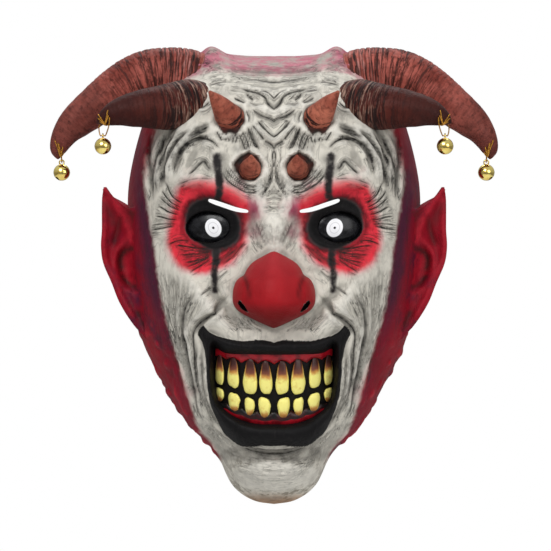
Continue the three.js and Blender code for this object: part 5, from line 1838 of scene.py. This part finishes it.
def add_horn(kind):
    """A horn extruded ring by ring along its table, subdivided, then ribbed."""
    spacing, sides, levels, pitch, rib_depth, fades = HORN_DETAIL[kind]
    rows = even_path(smooth_path(rounded_tip(HORNS[kind]), 10), spacing)
    tangents = np.gradient(rows[:, :3], axis=0)
    horn = add_disc(kind, sides, rows[0, 3] * MM)
    direction = Vector(tangents[0]).normalized()
    spin = Vector((0, 0, 1)).rotation_difference(direction).to_matrix().to_4x4()
    horn.data.transform(Matrix.Translation(Vector(rows[0, :3] * MM)) @ spin)
    bpy.ops.object.mode_set(mode="EDIT")
    bpy.ops.mesh.select_mode(type="FACE")
    bpy.ops.mesh.select_all(action="SELECT")
    bpy.ops.mesh.flip_normals()
    for here, there, tangent in zip(rows, rows[1:], tangents[1:]):
        bpy.ops.mesh.extrude_region_move()
        net = bmesh.from_edit_mesh(horn.data)
        new_direction = Vector(tangent).normalized()
        turn = direction.rotation_difference(new_direction).to_matrix()
        old, new = Vector(here[:3] * MM), Vector(there[:3] * MM)
        for v in net.verts:
            if v.select:
                v.co = new + turn @ (v.co - old) * (there[3] / here[3])
        direction = new_direction
        bmesh.update_edit_mesh(horn.data)
    apply_modifier(face_outward(horn), "SUBSURF", levels=levels, render_levels=levels)
    rib_horn(horn, rows, pitch, rib_depth, fades, *HORN_ROOT[kind])
    return horn


def ring_places(along, out, run):
    """Places on a horn with the way along it first, then two axes across it."""
    across = np.cross(run, (0, 1, 0))
    across /= np.linalg.norm(across, axis=1, keepdims=True)
    up = np.cross(across, run / np.linalg.norm(run, axis=1, keepdims=True))
    return np.column_stack((along, (out * across).sum(1) * RING_SPREAD, (out * up).sum(1) * RING_SPREAD))


def rib_horn(horn, rows, pitch, rib_depth, fades, skin_from, skin_to, root_from, root_to):
    """Presses uneven ribs in a horn and keeps each point's place along and round it."""
    points = read_points(horn)
    spine = even_path(rows[:, :3], 0.5)
    lengths = np.linspace(0, 1, len(spine)) * np.linalg.norm(np.diff(spine, axis=0), axis=1).sum()
    at, _ = nearest(points, spine)
    along = lengths[at]
    out = points - spine[at]
    radius = np.linalg.norm(out, axis=1)
    out /= np.maximum(radius, 1e-6)[:, None]
    share = along / lengths[-1]
    ring = ring_places(along, out, np.gradient(spine, axis=0)[at])
    wander = 1.6 * lattice_noise(ring / (60, 3, 3), 1.3, seed=11) + 0.8 * lattice_noise(ring, 5.0, seed=12)
    phase = (along + wander) / pitch
    wave = np.cos(2 * math.pi * phase)
    rib = np.column_stack((np.floor(phase) * 3.7, out[:, 0] * 1.5, out[:, 1] * 1.5))
    strong = 0.55 + 0.45 * lattice_noise(rib, 1.0, seed=13)
    fade = 1 - smoothstep(share, fades - 0.3, fades + 0.15)
    crease = np.clip(-wave, 0, 1) ** 2.2 * strong * fade
    lumps = lumpy(points, HORN_LUMPS)
    scale = np.clip(radius / 8, 0.12, 1)
    height = (rib_depth * (0.3 * fade - crease) + lumps * 0.6) * scale
    write_points(horn, points + out * height[:, None])
    store(horn, "ring_place", ring * MM)
    # Where the painted shade of the creases between the ribs goes.
    store(horn, "rib", np.clip(crease * 1.1, 0, 1))
    store(horn, "skin", 1 - smoothstep(share, skin_from, skin_to))
    store(horn, "root", 1 - smoothstep(share, root_from, root_to))
    store(horn, "tip", smoothstep(share, 0.45, 0.95) * (root_to > 0.7))


def make_horn_pair(kind, material, slot):
    """A horn that sits on the face's skin, and its twin."""
    horn = add_horn(kind)
    carve(horn, head_room(HORN_SEAT), "DIFFERENCE")
    finish_pair(horn, f"{kind}_skin", kind, material, slot)


def make_horns():
    """The four large horns, each pair in its own paint."""
    for kind, *look in (("back_horn", "horn", "horn_light", "back_skin", 0.78, 620.0),
                        ("front_horn", "horn_deep", "rust", "front_skin", 0.95, 620.0)):
        make_horn_pair(kind, horn_material(kind, *look), "horn_latex")


def make_brow_horns():
    """The four small horns of the forehead, in one paint."""
    material = horn_material("brow_horn", "brow", "brow_light", "rust", 0.95, 700.0)
    for kind in ("brow_horn", "brow_stub"):
        make_horn_pair(kind, material, "brow_latex")


def add_tooth(side, half, top, foot, upper):
    """A tooth grown from a cube: squared off at its edge, narrower at its root, set on the mouth's floor."""
    tooth = add_mesh(bpy.ops.mesh.primitive_cube_add, "tooth", size=2)
    apply_modifier(tooth, "SUBSURF", levels=4, render_levels=4)
    unit = read_points(tooth) * MM
    unit /= np.linalg.norm(unit, axis=1, keepdims=True)
    x, y, z = np.sign(unit.T) * np.abs(unit.T) ** TOOTH_SQUARENESS
    height = (top + foot) / 2 + (top - foot) / 2 * z
    to_root = (z + 1) / 2 if upper else (1 - z) / 2
    width = half * (1.02 - 0.42 * smoothstep(to_root, 0.3, 1))
    outward = x if side > 0 else -x
    height = height + (1.1 if upper else 1.5) * outward * (1 - to_root)
    across = x * half + side
    at = side + x * width + 0.3 * lattice_noise(np.column_stack((across, z * 6)), 2.5, seed=31)
    height = height + 0.45 * lattice_noise(np.column_stack((across, z * 3)), 2.2, seed=32)
    bulge = TOOTH_THICKNESS * (1 - 0.3 * smoothstep(to_root, 0.5, 1))
    bulge = np.where(y > 0, 0.3, 1) * bulge
    deep = -mouth_floor(np.abs(at), height) - TOOTH_LIFT + y * bulge
    write_points(tooth, np.column_stack((at, deep, height)))
    rim = 1 - 0.65 * smoothstep(np.abs(x), 0.62, 0.92)
    stain = smoothstep(to_root, 0.3, 0.85) if upper else 0.5 * smoothstep(to_root, 0.45, 1)
    store(tooth, "root", rim * stain)
    return blank_masks(tooth, ("gum", "gum_red"))


def add_gum(upper):
    """A strip of gum on the mouth's floor, scalloped round the teeth, red along the lip."""
    gum = add_grid("gum", *GUM_GRID)
    unit = read_points(gum) * MM
    low, high = (np.array(v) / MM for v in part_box("upper_teeth" if upper else "lower_teeth"))
    x = unit[:, 0] * high[0]
    side = np.abs(x)
    middles = np.array([row[0] for row in (UPPER_TEETH if upper else LOWER_TEETH)])
    depth, half = GUM_SCALLOP
    scallop = depth * np.clip(np.abs(side[:, None] - middles).min(1) / half, 0, 1) ** 2
    bow = (side / GUM_BOW) ** 2
    top, top_bow, foot, foot_bow = UPPER_GUM if upper else LOWER_GUM
    top, foot = top + top_bow * bow, foot + foot_bow * bow
    if upper:
        top, foot = np.minimum(top, high[2] - GUM_INSET), foot - scallop
    else:
        top, foot = top + scallop, np.maximum(foot, low[2] + GUM_INSET)
    level = (unit[:, 1] + 1) / 2
    z = foot + (top - foot) * level
    swell = GUM_RISE * np.sqrt(np.clip(1 - (1 - np.minimum(level, 1 - level) * 2) ** 2, 0, 1))
    write_points(gum, np.column_stack((x, -mouth_floor(side, z) - GUM_LIFT - swell, z)))
    apply_modifier(gum, "SOLIDIFY", thickness=GUM_WALL * MM, offset=-1)
    red = 1 - smoothstep(level, 0.6, 0.8) if upper else 1 - smoothstep(level, 0.3, 0.5)
    store(gum, "gum_red", np.resize(red, len(gum.data.vertices)))
    return blank_masks(gum, ("gum", "root"), gum=1.0)


def make_teeth():
    """The two rows of teeth, each with its gum."""
    material = tooth_material()
    for name, rows, upper in (("upper_teeth", UPPER_TEETH, True), ("lower_teeth", LOWER_TEETH, False)):
        teeth = [add_tooth(hand * row[0], *row[1:], upper) for row in rows for hand in SIDES.values()]
        row = join(add_gum(upper), *teeth)
        finish_piece(row, f"{name}_row", material, "teeth", "mask", name, angle=60)


def add_slot(radius, width):
    """A cutter for the slot under a bell, with a round hole at each end."""
    slot = add_mesh(bpy.ops.mesh.primitive_cube_add, "slot", size=1, location=(0, 0, -radius * 0.6),
                    scale=(width, radius * 1.5, radius * 0.9))
    for end in SIDES.values():
        hole = add_mesh(bpy.ops.mesh.primitive_cylinder_add, "hole", vertices=24, radius=width * 0.95,
                        depth=radius, location=(0, end * radius * 0.72, -radius * 0.72),
                        rotation=(end * math.radians(45), 0, 0))
        carve(slot, hole, "UNION")
    slot.data.transform(Matrix.Rotation(BELL_SLOT_TURN, 4, "Z"))
    return slot


def add_bell():
    """A jingle bell at the origin: a slotted shell with a rolled seam, and an eye of wire on top."""
    size = sizes()
    bell = add_ball("bell", 64, 40, size.bell_radius)
    points = read_points(bell)
    points[:, :2] *= 1 + BELL_SEAM[0] * hump(points[:, 2:], BELL_SEAM[1])
    write_points(bell, points)
    apply_modifier(bell, "SOLIDIFY", thickness=size.bell_wall, offset=-1)
    carve(bell, add_slot(size.bell_radius, size.bell_slot), "DIFFERENCE")
    eye = add_mesh(bpy.ops.mesh.primitive_torus_add, "bell_eye", major_segments=40, minor_segments=12,
                   major_radius=size.bell_eye, minor_radius=size.bell_wire, rotation=(math.pi / 2, 0, 0),
                   location=(0, 0, BELL_EYE_LIFT * MM))
    carve(bell, eye, "UNION")
    return bell


def make_bells():
    """The four bells, which each ride their own body."""
    material = bell_material()
    bell = add_bell()
    for kind, place, turn in (("back_bell", BACK_BELL, 0), ("front_bell", FRONT_BELL, math.pi / 2)):
        right = copied(bell)
        right.data.transform(Matrix.Translation(Vector(place) * MM) @ Matrix.Rotation(turn, 4, "Z"))
        finish_pair(right, f"{kind}_shell", kind, material, "bells", angle=35, body=kind)
    bpy.data.objects.remove(bell)


def add_ply(path, phase, offset, radius):
    """One ply of a twisted thread that winds round a closed path, as a mesh."""
    along = walked(np.vstack((path, path[:1])))
    turns = round(along[-1] / PLY_PITCH)
    tangent = np.roll(path, -1, axis=0) - np.roll(path, 1, axis=0)
    tangent /= np.linalg.norm(tangent, axis=1, keepdims=True)
    across = np.cross(tangent, PLY_SIDEWAYS)
    across /= np.linalg.norm(across, axis=1, keepdims=True)
    up = np.cross(tangent, across)
    angle = 2 * math.pi * turns * along[:-1] / along[-1] + phase
    ply = path + offset * (np.cos(angle)[:, None] * across + np.sin(angle)[:, None] * up)
    curve = bpy.data.curves.new("ply", "CURVE")
    curve.dimensions = "3D"
    curve.bevel_depth = radius
    curve.bevel_resolution = 1
    spline = curve.splines.new("POLY")
    spline.points.add(len(ply) - 1)
    spline.points.foreach_set("co", np.column_stack((ply * MM, np.ones(len(ply)))).ravel())
    spline.use_cyclic_u = True
    obj = bpy.data.objects.new("ply", curve)
    bpy.context.collection.objects.link(obj)
    only(obj)
    bpy.ops.object.convert(target="MESH")
    return bpy.context.object


def on_horn(kind, share, degrees, lift):
    """A place on a horn's skin, or so far above it: share of the way along, degrees up from the front."""
    rows = even_path(smooth_path(HORNS[kind], 10), 0.5)
    at = int(share * (len(rows) - 2))
    run = rows[at + 1, :3] - rows[at, :3]
    up = np.cross((0, -1, 0), run)
    up /= np.linalg.norm(up)
    front = np.cross(run, up) / np.linalg.norm(run)
    angle = math.radians(degrees)
    return rows[at, :3] + (rows[at, 3] + lift) * (math.cos(angle) * front + math.sin(angle) * up)


def strand_path(kind, knot, share, degrees):
    """A loop from the knot straight up over the front of the horn, then in through the horn and back."""
    top = on_horn(kind, share, degrees, 0.4)
    rise = (np.array(knot) + top) / 2 - (0, STRAND_BOW, 0)
    return np.array((knot, rise, top, on_horn(kind, share, degrees, -3), on_horn(kind, share, -90, -3)))


def make_ties():
    """Each tie is a closed loop of two plies twisted together, with strands of it over the horn's tip."""
    material = thread_material()
    radius = sizes().thread_radius
    for kind, points in TIES.items():
        horn, knot, strands = STRANDS[kind]
        loops = [points, *(strand_path(horn, knot, *strand) for strand in strands)]
        rings = [smooth_path(loop, 10, closed=True) for loop in loops]
        paths = [even_path(np.vstack((ring, ring[:1])), PLY_STEP)[:-1] for ring in rings]
        plies = [add_ply(path, phase, 0.8 * radius / MM, radius) for path in paths for phase in (0, math.pi)]
        finish_pair(join(*plies), f"{kind}_thread", kind, material, "tie_thread", angle=80)


# Stage


def add_area_light(name, place, size, watts):
    """A soft oblong light that looks at the mask's middle."""
    data = bpy.data.lights.new(name, "AREA")
    data.shape = "RECTANGLE"
    data.size, data.size_y = size
    data.energy = watts
    light = bpy.data.objects.new(name, data)
    bpy.context.collection.objects.link(light)
    light.location = place
    light.rotation_euler = (Vector(LIGHT_TARGET) - light.location).to_track_quat("-Z", "Y").to_euler()


def make_floor():
    """A pale floor far below."""
    floor = add_mesh(bpy.ops.mesh.primitive_plane_add, "floor", size=FLOOR_SIZE,
                     location=(0, 0, -sizes().floor_drop))
    material, tree, shader = new_material("pale_floor")
    shade = [FLOOR_SHADE * v for v in paint("floor")[:3]] + [1]
    tone = blend(tree, noise(tree, object_place(tree), 6.0), paint("floor"), shade)
    dress(tree, shader, {"Base Color": tone, "Roughness": 0.8})
    floor.data.materials.append(material)


def make_surround():
    """A soft sky that lights the mask, seen by the camera as plain white."""
    world = bpy.data.worlds.new("studio")
    bpy.context.scene.world = world
    world.use_nodes = True
    tree = world.node_tree
    height = add_node(tree, "SeparateXYZ", {0: add_node(tree, "TexCoord").outputs["Generated"]}).outputs["Z"]
    sky = blend(tree, remap(tree, height, *SKY_SPAN), SKY_LOW, SKY_HIGH)
    surround = dress(tree, tree.nodes["Background"], {"Color": sky, "Strength": SKY_STRENGTH})
    seen = add_node(tree, "Background", {"Color": (1, 1, 1, 1), "Strength": 1.0})
    direct = add_node(tree, "LightPath").outputs["Is Camera Ray"]
    mixed = add_node(tree, "MixShader", {0: direct, 1: surround.outputs[0], 2: seen.outputs[0]})
    feed(tree, tree.nodes["World Output"].inputs["Surface"], mixed.outputs[0])


def make_camera():
    """The photograph's long lens."""
    data = bpy.data.cameras.new("camera")
    data.sensor_width = SENSOR
    data.lens = SENSOR * CAMERA_DISTANCE / (PHOTO_SIZE * PHOTO_SCALE)
    data.clip_end = CAMERA_CLIP
    camera = bpy.data.objects.new("camera", data)
    bpy.context.collection.objects.link(camera)
    level = (PHOTO_LEVEL - PHOTO_CENTRE) * PHOTO_SCALE
    across = (PHOTO_CENTRE - PHOTO_AXIS) * PHOTO_SCALE
    camera.location = Vector((across, CAMERA_FOCUS_Y - CAMERA_DISTANCE, level)) * MM
    camera.rotation_euler = (math.pi / 2, 0, 0)
    bpy.context.scene.camera = camera


def make_stage():
    """The floor, soft lights, a white surround and the camera."""
    bpy.context.scene.view_settings.view_transform = "Standard"
    make_floor()
    for light in LIGHTS:
        add_area_light(*light)
    make_surround()
    make_camera()


# Operators and panel


class MASK_OT_stage(bpy.types.Operator):
    """Sets up the floor, the lights and the camera"""

    bl_idname = "devil_mask.stage"
    bl_label = "Stage"

    def execute(self, context):
        make_stage()
        return {"FINISHED"}


class MASK_OT_face(bpy.types.Operator):
    """Sculpts and paints the hollow latex face with its ears and nose"""

    bl_idname = "devil_mask.face"
    bl_label = "Face"

    def execute(self, context):
        make_face()
        return {"FINISHED"}


class MASK_OT_eyes(bpy.types.Operator):
    """Makes the two domed eyes"""

    bl_idname = "devil_mask.eyes"
    bl_label = "Eyes"

    def execute(self, context):
        make_eyes()
        return {"FINISHED"}


class MASK_OT_teeth(bpy.types.Operator):
    """Makes the two rows of teeth with their gums"""

    bl_idname = "devil_mask.teeth"
    bl_label = "Teeth"

    def execute(self, context):
        make_teeth()
        return {"FINISHED"}


class MASK_OT_horns(bpy.types.Operator):
    """Makes the four ribbed horns"""

    bl_idname = "devil_mask.horns"
    bl_label = "Horns"

    def execute(self, context):
        make_horns()
        return {"FINISHED"}


class MASK_OT_brow_horns(bpy.types.Operator):
    """Makes the small horns of the forehead"""

    bl_idname = "devil_mask.brow_horns"
    bl_label = "Brow horns"

    def execute(self, context):
        make_brow_horns()
        return {"FINISHED"}


class MASK_OT_bells(bpy.types.Operator):
    """Makes the four jingle bells"""

    bl_idname = "devil_mask.bells"
    bl_label = "Bells"

    def execute(self, context):
        make_bells()
        return {"FINISHED"}


class MASK_OT_ties(bpy.types.Operator):
    """Makes the thread ties of the bells"""

    bl_idname = "devil_mask.ties"
    bl_label = "Bell ties"

    def execute(self, context):
        make_ties()
        return {"FINISHED"}


OPERATORS = (MASK_OT_stage, MASK_OT_face, MASK_OT_eyes, MASK_OT_teeth, MASK_OT_horns, MASK_OT_brow_horns,
             MASK_OT_bells, MASK_OT_ties)


class MASK_PT_sidebar(bpy.types.Panel):
    """Lists the mask's pieces"""

    bl_idname = "MASK_PT_sidebar"
    bl_label = "Devil Clown Mask"
    bl_space_type = "VIEW_3D"
    bl_region_type = "UI"
    bl_category = "Mask"

    def draw(self, context):
        for operator in OPERATORS:
            self.layout.operator(operator.bl_idname)
        for group in (context.scene.mask_sizes, context.scene.mask_paints):
            for name in group.__annotations__:
                self.layout.prop(group, name)


CLASSES = (MaskSizes, MaskPaints, *OPERATORS, MASK_PT_sidebar)


def register():
    for each in CLASSES:
        bpy.utils.register_class(each)
    bpy.types.Scene.mask_sizes = bpy.props.PointerProperty(type=MaskSizes)
    bpy.types.Scene.mask_paints = bpy.props.PointerProperty(type=MaskPaints)


def unregister():
    del bpy.types.Scene.mask_paints
    del bpy.types.Scene.mask_sizes
    for each in reversed(CLASSES):
        bpy.utils.unregister_class(each)


def main():
    register()
    bpy.ops.devil_mask.stage()
    bpy.ops.devil_mask.face()
    bpy.ops.devil_mask.eyes()
    bpy.ops.devil_mask.teeth()
    bpy.ops.devil_mask.horns()
    bpy.ops.devil_mask.brow_horns()
    bpy.ops.devil_mask.bells()
    bpy.ops.devil_mask.ties()


if __name__ == "__main__":
    main()
